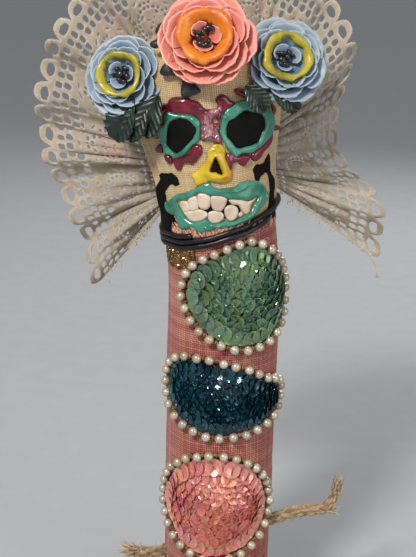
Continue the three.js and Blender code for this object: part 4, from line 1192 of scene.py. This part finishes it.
def make_flower(name, petal_look, paint_look, heart_look, seed):
    random = np.random.default_rng(seed)
    shape = Shape()
    radius = FLOWERS[name][0]
    for whorl, (count, foot, tip, low, high, width, turn, curl) in enumerate(WHORLS):
        for k in range(count):
            centre = (k + turn) / count * TURN + random.uniform(-0.1, 0.1)
            reach = tip * random.uniform(0.94, 1.02)
            lift = high + random.uniform(-0.02, 0.02)
            half = width * random.uniform(0.9, 1.1)
            along, across = np.linspace(0, 1, 14)[:, None], np.linspace(-1, 1, 17)[None]
            seeds = random.integers(0, 999)
            place = np.stack([along * 2.2 + 0 * across, across * 1.4 + 0 * along], -1)
            round_tip = 1 - 0.24 * np.abs(across) ** 2.4
            ragged = 1 + 0.045 * wobble(place * (0.1, 2.4), 0.42, seeds) * along ** 3
            r = foot + (reach - foot) * along * round_tip * ragged
            spread = half * (0.55 + 0.45 * np.sin(math.pi * np.minimum(along, 0.62) / 1.24))
            angle = centre + across * spread
            h = low + (lift - low) * along ** 1.5
            h = h + curl * (np.abs(across) ** 2.2 * (0.3 + 0.5 * along) - 0.10 * along ** 5)
            h = h + 0.018 * wobble(place, 0.6, seeds + 1) * along + 0.012 * np.cos(3.1 * across) * along
            thick = (0.045 - 0.018 * along) * (1 - 0.35 * np.abs(across) ** 3)
            front = on_flower(name, r, angle, h + thick)
            back = on_flower(name, r, angle, h)
            points, faces = slab(front, back)
            share = np.stack([along + 0 * across] * 2).ravel()
            side = np.stack([np.abs(across) + 0 * along] * 2).ravel()
            shape.add(points, faces, along=share, across=side, tone=np.full(len(points), whorl / 5),
                      tint=np.full(len(points), random.uniform(0, 1)))
    turn = np.arange(32) / 32 * TURN
    levels = ((0.5, 0.0), (0.56, 0.06), (0.45, 0.2), (0.3, 0.28), (0.12, 0.3))
    points, faces = loft([on_flower(name, r + 0 * turn, turn, h) for r, h in levels])
    shape.add(points, faces, along=np.zeros(len(points)), across=np.zeros(len(points)),
              tone=np.full(len(points), 0.9), tint=np.full(len(points), 0.4))
    dress(shape, f"{name}_blossom", petal_look, "coral_petal" if name == "centre" else "blue_petal",
          f"flower_{name}")
    ring_slot = "orange_ring" if name == "centre" else "yellow_ring"
    make_painted_ring(name, paint_look, ring_slot, seed)
    make_heart(name, heart_look, random, radius)


def make_painted_ring(name, look, slot, seed):
    count, across = 120, 10
    angle = np.arange(count) / count * TURN
    circle = np.stack([np.cos(angle), np.sin(angle)], -1)
    coral = name == "centre"
    middle = (0.43 if coral else 0.47) + 0.03 * wobble(circle, 0.55, seed) + 0.02 * wobble(circle, 0.2, seed + 1)
    half = (0.135 if coral else 0.085) + 0.035 * wobble(circle, 0.5, seed + 2) + 0.012 * wobble(circle, 0.15, seed + 3)
    rings = []
    section = np.arange(across) / across * TURN
    for k in range(count):
        reach = middle[k] + half[k] * np.cos(section)
        bowl = 0.42 + 0.14 * smoothstep(0.25, 0.55, reach) + 0.012 * math.sin(5 * angle[k] + 1.2)
        top = 0.075 if coral else 0.07
        height = bowl + top * np.sin(section) * np.where(np.sin(section) > 0, 1.0, 1.1)
        rings.append(on_flower(name, reach, np.full(across, angle[k]), height))
    dress(Shape().add(*loft(rings, closed=True)), f"{name}_painted_ring", look, slot, f"flower_ring_{name}")


# Blobs of black paint in each flower: [x, y, size, size across], in millimetres from its middle
HEARTS = {
    "left": ((-1.6, 2.6, 1.6, 1.2), (-2.7, -0.6, 1.2, 1.7), (0.6, 0.4, 1.9, 1.6), (-1.6, -2.6, 1.3, 1.1),
             (1.7, 2.1, 1.2, 1.0), (3.0, 0.0, 1.0, 0.5), (0.4, -1.9, 1.3, 1.0)),
    "centre": ((-1.2, 3.5, 1.9, 1.3), (0.6, 3.0, 1.1, 1.3), (1.1, 1.5, 1.0, 1.5), (3.2, 1.4, 1.7, 0.9),
               (4.6, 1.6, 0.9, 1.2), (2.9, -0.5, 1.2, 1.7), (2.0, -2.6, 1.6, 1.4), (-0.6, -3.1, 1.7, 1.2),
               (-1.3, -1.6, 0.9, 1.2), (0.6, -3.4, 1.5, 1.0)),
    "right": ((-1.0, 2.2, 1.0, 1.5), (1.4, 1.8, 1.6, 1.0), (3.2, 1.9, 1.1, 0.8), (-2.4, 1.0, 1.2, 0.6),
              (1.8, -0.6, 1.5, 1.7), (0.6, -2.6, 1.6, 1.1), (2.6, -2.3, 1.0, 1.1), (-0.2, 0.4, 1.3, 1.3)),
}


def make_heart(name, look, random, radius):
    shape = Shape()
    _, foot, axes = flower_frame(name)
    level = 0.44 * radius
    for x, y, wide, tall in HEARTS[name]:
        spin = random.uniform(-0.5, 0.5)
        turn = np.array([[math.cos(spin), -math.sin(spin), 0], [math.sin(spin), math.cos(spin), 0], [0, 0, 1]])
        points, faces = ball((0, 0, 0), (wide, tall, 1.15), 18, 12, turn)
        points *= (1 + 0.13 * wobble(points + (x, y, 0), 1.1, 61))[:, None]
        shape.add(foot + (points + (x, y, level + random.uniform(-0.2, 0.3))) @ axes, faces)
    dress(shape, f"{name}_flower_heart", look, "flower_heart", f"flower_heart_{name}")


# Leaves: dark, veined and toothed, [stalk, tip, width] in the head's frame
LEAVES = {
    "left_outer": ((-27, -19.5, 61), (-36.5, -15.5, 45.0), 13),
    "left_inner": ((-17, -23.6, 61), (-24.5, -21.0, 45.5), 11),
    "right_inner": ((16, -24.2, 61), (22.5, -23.2, 50.5), 9),
    "right_outer": ((25, -20, 60), (35, -15.5, 48.5), 9),
    "left_lower": ((-22, -21.5, 59), (-31.0, -18.5, 44.5), 11),
}


def make_leaf(name, look, nodes, seed):
    stalk, tip, width = LEAVES[name]
    stalk, tip = np.array(stalk, float), np.array(tip, float)
    along = tip - stalk
    out = np.array([stalk[0] * 0.6, -24, 0])
    out /= np.linalg.norm(out)
    across = np.cross(along, out)
    across /= np.linalg.norm(across)
    v, side = np.linspace(0, 1, 46)[:, None], np.linspace(-1, 1, 31)[None]
    teeth = 1 + 0.16 * (1 - ((v * 6.5) % 1)) * smoothstep(0.1, 0.3, v) - 0.06
    half = width / 2 * (0.15 + 0.85 * np.sin(math.pi * np.minimum(0.985, v * 0.94 + 0.04)) ** 0.75) * teeth
    slant = 0.10 * np.abs(side) * np.sin(math.pi * v)
    place = np.stack([v * 9 + 0 * side, side * 4 + 0 * v], -1)
    ribs = 0.28 * np.cos(TURN * (v * 6.5 - 1.1 * np.abs(side)))
    fold = 1.3 * np.abs(side) ** 1.2 + 1.0 * np.sin(v * math.pi) + ribs * np.abs(side) ** 0.5
    fold = fold + 0.35 * wobble(place, 2.2, seed) - 0.35 * np.exp(-((side / 0.09) ** 2))
    centre = stalk + along * (v + slant)[..., None] + across * (side * half)[..., None]
    front, back = (to_world(centre + out * (fold + lift)[..., None]) for lift in (0.75, 0.2))
    dress(Shape().add(*slab(front, back)), f"leaf_blade_{name}", look, "leaf", *nodes)


# The leaf beside the coral flower is cut into deep lobes: (x, z) in the head's frame
LOBED_LEAF = ((-1.0, 60.8), (-3.5, 59.6), (-8.6, 59.9), (-8.4, 62.5), (-7.6, 66.0), (-9.6, 67.6), (-14.4, 68.0),
              (-15.8, 69.6), (-13.6, 72.5), (-11.2, 76.2), (-13.4, 78.6), (-17.0, 78.4), (-18.2, 80.6),
              (-15.6, 82.0), (-15.4, 85.2), (-12.6, 87.8), (-10.2, 86.4), (-10.6, 82.4), (-8.0, 80.6), (-6.4, 77.0),
              (-7.2, 73.6), (-5.2, 69.6), (-3.4, 66.4), (-2.2, 63.2))


def make_lobed_leaf(look):
    place, lift, faces = paint([(LOBED_LEAF, 1.3, 1.8)], pitch=0.35, seed=90, rough=0.25, skin=0.15)
    x, z = place.T
    y = -25.6 + 0.16 * (z - 60) + 0.012 * (x + 6) ** 2
    points = to_world(np.stack([x, y - np.maximum(lift, -0.3), z], -1))
    dress(Shape().add(points, faces), "leaf_blade_curled", look, "leaf", "leaf_curled")


# Rope arms: three strands laid together, each a bundle of yarns, frayed out at the free ends
def rope_path(points, steps):
    return curve(points, steps)


def make_rope(name, look, node, points, radii, lay, tassel, seed):
    random = np.random.default_rng(seed)
    shape = Shape()
    steps = 90
    path = rope_path(points, steps)
    a, b, _ = frames_along(path)
    radius = np.interp(np.linspace(0, 1, steps), np.linspace(0, 1, len(radii)), radii)
    way = np.linspace(0, 1, steps) * length_of(path)
    for strand in range(3):
        angle = strand / 3 * TURN + way * TURN / lay
        centre = path + (a * np.cos(angle)[:, None] + b * np.sin(angle)[:, None]) * (radius * 0.5)[:, None]
        sa, sb, _ = frames_along(centre)
        for yarn in range(7):
            twist = yarn / 7 * TURN - way * TURN / (lay * 0.55)
            off = (radius * 0.33)[:, None] * (sa * np.cos(twist)[:, None] + sb * np.sin(twist)[:, None])
            points_, faces = tube(centre + off, radius * 0.23, 6)
            shape.add(points_, faces, tint=np.full(len(points_), random.uniform(0, 1)))
        core, faces = tube(centre, radius * 0.38, 8)
        shape.add(core, faces, tint=np.full(len(core), 0.3))
    for start, aim, count, reach, spread in tassel:
        for _ in range(count):
            begin = np.array(start) + random.normal(0, 0.9, 3) * (1, 0.8, 1)
            bend = random.normal(0, spread, 3)
            tip = np.array(aim, float) * random.uniform(0.55, 1.1) * reach
            knee = begin + tip * 0.5 + bend * 0.6
            strand = curve([begin, knee, begin + tip + bend * 1.6], 8)
            points_, faces = tube(strand, np.linspace(0.26, 0.12, 8), 5)
            shape.add(points_, faces, tint=np.full(len(points_), random.uniform(0.5, 1.3)))
    for _ in range(70):
        at = random.integers(2, steps - 2)
        side = a[at] * math.cos(k := random.uniform(0, TURN)) + b[at] * math.sin(k)
        begin = path[at] + side * radius[at] * 0.9
        stray = curve([begin, begin + side * 0.5 + random.normal(0, 0.4, 3), begin + side + random.normal(0, 0.9, 3)], 6)
        points_, faces = tube(stray, 0.07, 4)
        shape.add(points_, faces, tint=np.full(len(points_), 0.8))
    dress(shape, name, look, "rope", node)


def make_arms(look):
    make_rope("right_rope_stub", look, "rope_arm_right",
              [(21.5, -8, 51.1), (28, -6.5, 52.6), (36, -5, 54.6), (43, -4.5, 55.2), (47, -4.5, 56.0),
               (50.5, -4.5, 59.5), (52.4, -4.5, 65)], (2.6, 2.6, 2.6, 2.6, 2.5, 2.3, 1.9), 14.0,
              [((52.4, -4.5, 64.5), (0.25, 0, 1), 46, 7.0, 0.8), ((48.5, -5.3, 55.4), (1, -0.05, -0.12), 30, 4.6, 0.7)],
              51)
    make_rope("left_rope_stub", look, "rope_arm_left",
              [(-21.5, -6, 35.0), (-26, -6, 33.4), (-30, -6, 32.4), (-34, -6, 32.6)], (2.6, 2.6, 2.6, 2.8), 14.0,
              [((-33.5, -6, 32.6), (-1, 0, 0.18), 90, 8.0, 1.25)], 52)


# Pearls on their thread round each patch: loops of (s, z) on the roll
PEARL_LOOPS = {
    "top": ((37, 157), (31, 147), (20, 139), (8, 136.5), (-5, 141), (-14.5, 150.5), (-17.6, 160), (-12.5, 171),
            (0, 178.4), (13, 181.6), (26, 173.5)),
    "middle": ((33.6, 109.5), (26, 104), (12, 99.6), (-5, 98.3), (-18, 103), (-27, 111.5), (-26.4, 124.5),
               (-18, 131.5), (-5, 132.3), (8, 128.9), (20, 122.4), (29, 118.5)),
    "bottom": ((24.4, 64), (19, 50.5), (8, 43), (-4, 40.8), (-17, 46), (-28, 57), (-28.6, 69), (-20.5, 81.5),
               (-8, 89.2), (5, 89), (17, 80.6)),
}


def make_pearls(name, pearl_look, thread_look):
    loop = PEARL_LOOPS[name]
    flat = curve(loop, 400, closed=True)
    beads = round(length_of(flat, True) / PEARL_PITCH)
    flat = curve(loop, beads * 12, closed=True)
    path = body_point(flat[:, 0], flat[:, 1], PEARL_RADIUS + 0.3)
    random = np.random.default_rng(len(name))
    pearls, thread = Shape(), Shape()
    for k in range(beads):
        at = path[k * 12] + random.normal(0, 0.12, 3)
        size = PEARL_RADIUS * random.uniform(0.97, 1.02)
        points, faces = ball(at, (size, size, size), 20, 14)
        pearls.add(points, faces, tint=np.full(len(points), random.uniform(0, 1)))
    low = body_point(flat[:, 0], flat[:, 1], 1.1)
    a, b, _ = frames_along(low, True)
    way = np.arange(len(low)) / 12
    for k in range(3):
        angle = k / 3 * TURN + way * TURN
        strand = low + (a * np.cos(angle)[:, None] + b * np.sin(angle)[:, None]) * 0.42
        thread.add(*tube(strand, 0.36, 6, closed=True))
    for k in range(beads):
        gap = (k * 12 + 6) % len(low)
        stitch = [path[gap] - b[gap] * 0, low[gap] + a[gap] * 1.1, low[gap] - a[gap] * 1.1]
        out = path[gap] - low[gap]
        out /= np.linalg.norm(out)
        side = np.cross(out, low[(gap + 1) % len(low)] - low[gap])
        side /= np.linalg.norm(side)
        arc = np.linspace(0, math.pi, 9)
        hoop = low[gap] - out + (np.cos(arc)[:, None] * side * 1.05 + np.sin(arc)[:, None] * out * 1.9)
        thread.add(*tube(hoop, 0.24, 6))
    dress(pearls, f"{name}_pearls", pearl_look, "pearl", f"pearl_string_{name}")
    dress(thread, f"{name}_pearl_thread", thread_look, "pearl")


# Sequins: cupped discs with six flats and a hole, sewn on like scales
def sequin(radius, cup, random):
    count = 24
    angle = np.arange(count) / count * TURN
    flats = 1 / np.cos((angle + TURN / 12) % (TURN / 6) - TURN / 12)
    hole, flat, edge = 0.085 * radius, 0.42 * radius, radius
    rings = []
    for reach, height in ((hole, 0.0), (flat, 0.0), (0.74 * edge, 0.55 * cup), (edge, cup)):
        shape = np.where(reach < flat, 1.0, 1.0) * (flats if hole < reach < edge else 1.0)
        rings.append(np.stack([reach * shape * np.cos(angle), reach * shape * np.sin(angle), height + 0 * angle], -1))
    top = np.array(rings)
    under = top[::-1] - (0, 0, 0.16)
    points, faces = loft(np.concatenate([top, under]), closed=True)
    return points, faces


def make_sequins(name, look, slot, tilt_from, seed, size=3.7, spacing=3.7):
    random = np.random.default_rng(seed)
    outline = curve(PEARL_LOOPS[name], 160, closed=True)
    shape = Shape()
    low, high = outline.min(0), outline.max(0)
    spots = []
    rows = np.arange(low[1], high[1], spacing * 0.86)
    for j, z in enumerate(rows):
        for s in np.arange(low[0] + (j % 2) * spacing / 2, high[0], spacing):
            spots.append((s + random.normal(0, 0.35), z + random.normal(0, 0.35)))
    spots = np.array(spots)
    inset = PEARL_RADIUS + PATCH_GAP + size * 0.72
    depth = line_distance(spots, outline, True)
    rim = curve(outline_inset(outline, inset - 0.2), 400, closed=True)
    edge = curve(rim, round(length_of(rim, True) / (spacing * 1.02)), closed=True)
    spots = np.concatenate([edge + random.normal(0, 0.15, edge.shape), spots[depth > inset + spacing * 0.55]])
    centre = np.array(tilt_from, float)
    far = np.linalg.norm(spots - centre, axis=1)
    for (s, z), reach in sorted(zip(spots, far), key=lambda pair: -pair[1]):
        angle = s / BODY_RADIUS
        out = np.array([math.sin(angle), -math.cos(angle), 0.0])
        side = np.array([math.cos(angle), math.sin(angle), 0.0])
        rise = np.array([0, 0, 1.0])
        away = (np.array([s, z]) - centre) / max(reach, 1e-6)
        lean = 0.26 + random.normal(0, 0.06)
        if reach < 2.5:
            lean = random.normal(0, 0.05)
        aim = side * away[0] + rise * away[1]
        tilt = random.normal(0, 0.05, 2)
        normal = out + aim * (lean + tilt[0]) + side * tilt[1]
        normal /= np.linalg.norm(normal)
        first = np.cross(rise, normal)
        first /= np.linalg.norm(first)
        second = np.cross(normal, first)
        points, faces = sequin(size * random.uniform(0.95, 1.05), 0.75, random)
        spin = random.uniform(0, TURN)
        cos, sin = math.cos(spin), math.sin(spin)
        points = points @ np.array([[cos, sin, 0], [-sin, cos, 0], [0, 0, 1]])
        base = body_point(s, z, 1.35 + 0.22 * random.uniform(0, 1) + 0.012 * (18 - reach))
        world = base + points @ np.stack([first, second, normal])
        shape.add(world, faces, tint=np.full(len(points), random.uniform(0, 1)),
                  place=np.tile([s, z, 0], (len(points), 1)))
    dress(shape, f"{name}_sequins", look, slot, f"sequin_patch_{name}", smooth=False)


def outline_inset(outline, by):
    ahead = np.roll(outline, -1, 0) - np.roll(outline, 1, 0)
    inward = np.stack([-ahead[:, 1], ahead[:, 0]], -1)
    inward /= np.linalg.norm(inward, axis=1, keepdims=True)
    turn = (outline[:, 0] * np.roll(outline[:, 1], -1) - outline[:, 1] * np.roll(outline[:, 0], -1)).sum()
    return outline + inward * by * (1 if turn > 0 else -1)


# Materials
def make_paints():
    return {
        "teal": glossy_paint("teal_paint", "27614E", "38806A", "46917A"),
        # The crimson's pale pink streak colour is a painted highlight
        "crimson": glossy_paint("crimson_paint", "3F0510", "620A1B", "850D30", streak="D3A6AC"),
        "yellow": glossy_paint("yellow_paint", "A08400", "C2A200", "DCC63A", streak="D9481C"),
        "black": glossy_paint("black_paint", "050505", "0B0A09", "131210", roughness=0.8, coat=0.0, level=0.15),
        "tooth": glossy_paint("tooth_paint", "BBA78E", "CDBBA1", "DCCDB6", roughness=0.38, coat=0.1),
    }


def waxed_black():
    look = Look("waxed_cord", roughness=0.3, specular_ior_level=0.5)
    dust = look.noise(look.place(), 900.0, 4.0)
    look.set("Base Color", look.ramp(dust, (0.35, "040404"), (0.7, "121111")))
    look.bump(dust, 0.5, 0.4)
    return look.material


def glitter_cloth():
    look = Look("glitter_cloth", roughness=0.7)
    dust = look.noise(look.place(), 700.0, 4.0)
    look.set("Base Color", look.ramp(dust, (0.3, "3A2610"), (0.6, "7A5426")))
    look.bump(dust, 0.6, 0.5)
    return look.material


def gold_flake():
    look = Look("gold_glitter", roughness=0.25, metallic=0.85)
    look.set("Base Color", look.ramp(look.value("tint"), (0.0, "4A3214"), (0.5, "A87A3A"), (1.0, "F2DCA8")))
    return look.material


def fringe_thread():
    look = Look("fringe_thread", roughness=0.85, sheen_weight=0.2)
    shade = look.math("MULTIPLY", look.value("tint"), 0.6)
    tone = look.math("MULTIPLY_ADD", look.noise(look.place(), 300.0), 0.4, shade)
    look.set("Base Color", look.ramp(tone, (0.2, "B5604C"), (0.5, "D69A84"), (0.8, "E8C4AE")))
    return look.material


def lace_cotton():
    """Bobbin lace: fine woven threads with painted shade between them, brighter along the edges of the holes, with a
    faint stain.
    """
    look = Look("lace_cotton", roughness=0.9, sheen_weight=0.25, sheen_roughness=0.4, specular_ior_level=0.2)
    at = look.value("weave", "Vector")
    scaled = look.node("VectorMath", at, (2.6, 1.9, 1.0), operation="MULTIPLY")
    waver = look.noise(at, 0.35, 2.0)
    x = look.math("MULTIPLY_ADD", waver, 2.4, look.node("SeparateXYZ", scaled, output=0))
    y = look.math("MULTIPLY_ADD", waver, 1.6, look.node("SeparateXYZ", scaled, output=1))
    height = weave_height(look, x, y)
    fuzz = look.noise(at, 4.0, 3.0)
    cloud = look.noise(at, 0.12, 2.0)
    # Painted shade: the tone is darker in the low places of the weave, between the threads
    tone = look.math("ADD", look.math("MULTIPLY", fuzz, 0.35), look.math("MULTIPLY", height, 0.3))
    tone = look.math("MULTIPLY_ADD", cloud, 0.25, tone)
    tone = look.math("MULTIPLY_ADD", look.value("rim"), 0.16, tone)
    colour = look.ramp(tone, (0.22, "8F8370"), (0.5, "C2B39D"), (0.78, "E2D6C2"))
    share = look.math("MULTIPLY", look.value("stain"), 0.5)
    look.set("Base Color", look.blend(share, colour, "D89A96"))
    look.bump(look.math("MULTIPLY_ADD", fuzz, 0.3, height), 0.9, 0.35)
    return look.material


def petal(name, deep, mid, pale, edge):
    """A waxy petal: painted shade deepening its colour towards the foot, paler along its edges."""
    look = Look(name, roughness=0.42, subsurface_weight=0.18, subsurface_scale=2.5 * MM, coat_weight=0.12,
                coat_roughness=0.3, specular_ior_level=0.4)
    at = look.place()
    cloud = look.noise(at, 130.0, 4.0)
    along, across = look.value("along"), look.value("across")
    # Painted shade: the colour deepens towards the foot of each petal, down in the flower's cup
    tone = look.math("MULTIPLY_ADD", cloud, 0.5, look.math("MULTIPLY", along, 0.42))
    tone = look.math("MULTIPLY_ADD", look.value("tint"), 0.12, tone)
    colour = look.ramp(tone, (0.22, deep), (0.52, mid), (0.8, pale))
    rim = look.math("POWER", look.math("MAXIMUM", look.math("POWER", along, 6.0), look.math("POWER", across, 7.0)), 2.0)
    look.set("Base Color", look.blend(look.math("MULTIPLY", rim, 0.75), colour, edge))
    streaks_and_highlights = look.noise(at, 520.0, 3.0)
    look.bump(look.math("MULTIPLY_ADD", streaks_and_highlights, 0.35, look.noise(at, 190.0, 3.0)), 0.35, 0.8)
    return look.material


def leaf_green():
    look = Look("leaf_green", roughness=0.38, coat_weight=0.15, coat_roughness=0.2)
    at = look.place()
    look.set("Base Color", look.ramp(look.noise(at, 240.0, 5.0), (0.3, "08140F"), (0.55, "15281F"), (0.75, "2E4638")))
    look.bump(look.noise(at, 600.0, 4.0), 0.4, 0.5)
    return look.material


def rope_fibre():
    look = Look("rope_fibre", roughness=0.9, sheen_weight=0.2, specular_ior_level=0.2)
    at = look.place()
    tone = look.math("MULTIPLY_ADD", look.noise(at, 500.0, 4.0), 0.55, look.math("MULTIPLY", look.value("tint"), 0.35))
    look.set("Base Color", look.ramp(tone, (0.2, "6E5A3E"), (0.5, "A18764"), (0.85, "D8C6A4")))
    look.bump(look.noise(at, 1400.0, 3.0), 0.7, 0.3)
    return look.material


def pearl_skin():
    """Costume pearls: a warm grey lustre under a clear skin."""
    look = Look("pearl_skin", roughness=0.22, metallic=0.25, coat_weight=1.0, coat_roughness=0.05,
                specular_ior_level=0.6)
    cloud = look.noise(look.place(), 420.0, 2.0)
    tone = look.math("MULTIPLY_ADD", look.value("tint"), 0.35, look.math("MULTIPLY", cloud, 0.65))
    # Painted shade: the colour darkens towards each pearl's outline as the camera sees it
    facing = look.node("LayerWeight", 0.35, output=1)
    colour = look.ramp(tone, (0.25, "A79479"), (0.5, "BFB096"), (0.75, "D6CCBA"))
    look.set("Base Color", look.blend(facing, colour, "7D6B4E"))
    return look.material


def gold_thread():
    look = Look("gold_thread", roughness=0.5, metallic=0.15, specular_ior_level=0.4)
    at = look.place()
    look.set("Base Color", look.ramp(look.noise(at, 900.0, 3.0), (0.3, "5A4425"), (0.55, "8C7048"), (0.8, "BFA277")))
    look.bump(look.noise(at, 1500.0, 2.0), 0.5, 0.25)
    return look.material


def sequin_film(name, stops, flash, metal=0.55, roughness=0.2, alpha=1.0):
    """Iridescent film: each sequin its own tint, with a painted reflection: flashes of another colour mixed into the
    base colour where the sequin is seen edge-on.
    """
    look = Look(name, roughness=roughness, metallic=metal, coat_weight=0.8, coat_roughness=0.06,
                specular_ior_level=0.6)
    area = look.noise(look.value("place", "Vector"), 0.085, 2.0)
    tone = look.math("MULTIPLY_ADD", look.value("tint"), 0.4, look.math("MULTIPLY", area, 0.6))
    colour = look.ramp(tone, *stops)
    # Painted reflection: flash colours mixed in by the angle to the camera
    facing = look.node("LayerWeight", 0.3, output=1)
    share = look.math("MULTIPLY", look.ramp(facing, (0.1, 0.0), (0.45, 1.0)), 0.55)
    sheen = look.ramp(look.math("FRACT", look.math("MULTIPLY", look.value("tint"), 5.3)), *flash)
    look.set("Base Color", look.blend(share, colour, sheen))
    scratch = look.noise(look.place(), 1300.0, 2.0)
    look.bump(scratch, 0.12, 0.2)
    return look.material


def floor_paper():
    look = Look("studio_paper", roughness=0.9, specular_ior_level=0.1)
    fibre = look.noise(look.place(), 60.0, 3.0)
    look.set("Base Color", look.ramp(fibre, (0.3, "A9ABAD"), (0.7, "ADAFB1")))
    return look.material


def add_stage():
    half = 60000.0
    corners = [(-half, -half, 0), (half, -half, 0), (half, half, 0), (-half, half, 0)]
    mesh = bpy.data.meshes.new("floor")
    mesh.from_pydata(np.array(corners) * MM, [], [(0, 1, 2, 3)])
    mesh.materials.append(floor_paper())
    floor = bpy.data.objects.new("floor", mesh)
    bpy.context.scene.collection.objects.link(floor)


def add_light(name, place, target, size, power, colour=(1, 1, 1)):
    data = bpy.data.lights.new(name, "AREA")
    data.shape = "DISK"
    data.size = size
    data.energy = power
    data.color = colour
    light = bpy.data.objects.new(name, data)
    bpy.context.scene.collection.objects.link(light)
    light.location = place
    light.rotation_euler = (Vector(target) - Vector(place)).to_track_quat("-Z", "Y").to_euler()


def add_lights():
    target = (0, 0, 0.17)
    add_light("key", (-0.42, -0.75, 0.95), target, 0.22, 12, (1.0, 0.97, 0.93))
    add_light("fill", (0.9, -0.8, 0.45), target, 0.9, 4.5, (0.95, 0.97, 1.0))
    add_light("rim", (0.3, 0.9, 0.8), target, 0.6, 5, (1, 1, 1))
    world = bpy.data.worlds.new("studio")
    world.use_nodes = True
    sky = world.node_tree.nodes["Background"]
    sky.inputs["Color"].default_value = (0.95, 0.97, 1.0, 1)
    sky.inputs["Strength"].default_value = 0.4
    bpy.context.scene.world = world
    bpy.context.scene.view_settings.view_transform = "Standard"


def make_flowers():
    blue = petal("blue_petal", "3E5A7C", "6C86A0", "95A5B0", "AEBAC0")
    coral = petal("coral_petal", "B8493C", "D36A5C", "E08C7C", "EBA798")
    yellow = glossy_paint("yellow_stroke", "7E7410", "A69A18", "BDAF3A", roughness=0.4, coat=0.15)
    orange = glossy_paint("orange_stroke", "B85600", "D47000", "E08A1C", roughness=0.45, coat=0.1)
    heart = glossy_paint("heart_paint", "060506", "100D0C", "1E1816", roughness=0.3, coat=0.3)
    make_flower("left", blue, yellow, heart, 3)
    make_flower("centre", coral, orange, heart, 14)
    make_flower("right", blue, yellow, heart, 25)


def make_leaves():
    green = leaf_green()
    for k, name in enumerate(LEAVES):
        nodes = [f"leaf_{name}"] if name != "left_lower" else []
        make_leaf(name, green, nodes, 70 + k)
    make_lobed_leaf(green)


def make_patches():
    pearl, thread = pearl_skin(), gold_thread()
    for name in PEARL_LOOPS:
        make_pearls(name, pearl, thread)
    olive = sequin_film("olive_sequin", ((0.2, "2F5A4C"), (0.45, "5B7A52"), (0.6, "74905F"), (0.8, "3F7C74")),
                        ((0.0, "7FD8D0"), (0.35, "CFE07A"), (0.6, "6A8CE0"), (0.85, "BFE6D6")))
    petrol = sequin_film("petrol_sequin", ((0.2, "02161C"), (0.5, "05303A"), (0.8, "0A5462")),
                         ((0.0, "1E8FA0"), (0.5, "0E4F86"), (0.8, "35B8C0")), metal=0.7)
    coral = sequin_film("coral_sequin", ((0.2, "C56A62"), (0.45, "E08676"), (0.65, "E79A80"), (0.85, "C98AA0")),
                        ((0.0, "F0A8B0"), (0.4, "E8C07A"), (0.7, "C08AC8"), (0.9, "F6D0C0")), metal=0.35)
    make_sequins("top", olive, "sequin_olive", (14, 166), 31)
    make_sequins("middle", petrol, "sequin_petrol", (4, 116), 32, size=2.9, spacing=2.9)
    make_sequins("bottom", coral, "sequin_coral", (2, 68), 33, size=3.6, spacing=3.5)


def main():
    add_camera()
    add_stage()
    add_lights()
    # The first colour of each cloth is the painted shade in the gaps of its weave
    rose = woven("rose_cloth", "3A1A14", "9C4D44", "BC6C5C", "D39A84", 0.85, 0.7, BODY_THREAD)
    canvas = woven("cream_canvas", "8A6D45", "C0A274", "D0B488", "DDC8A0", 0.85, 0.6, CANVAS_THREAD)
    make_body(rose)
    make_fringe(fringe_thread())
    make_head(canvas)
    make_face(make_paints())
    make_neck_cord(waxed_black())
    make_glitter_scrap(glitter_cloth(), gold_flake())
    make_patches()
    make_flowers()
    make_leaves()
    make_arms(rope_fibre())
    make_lace(lace_cotton())


main()
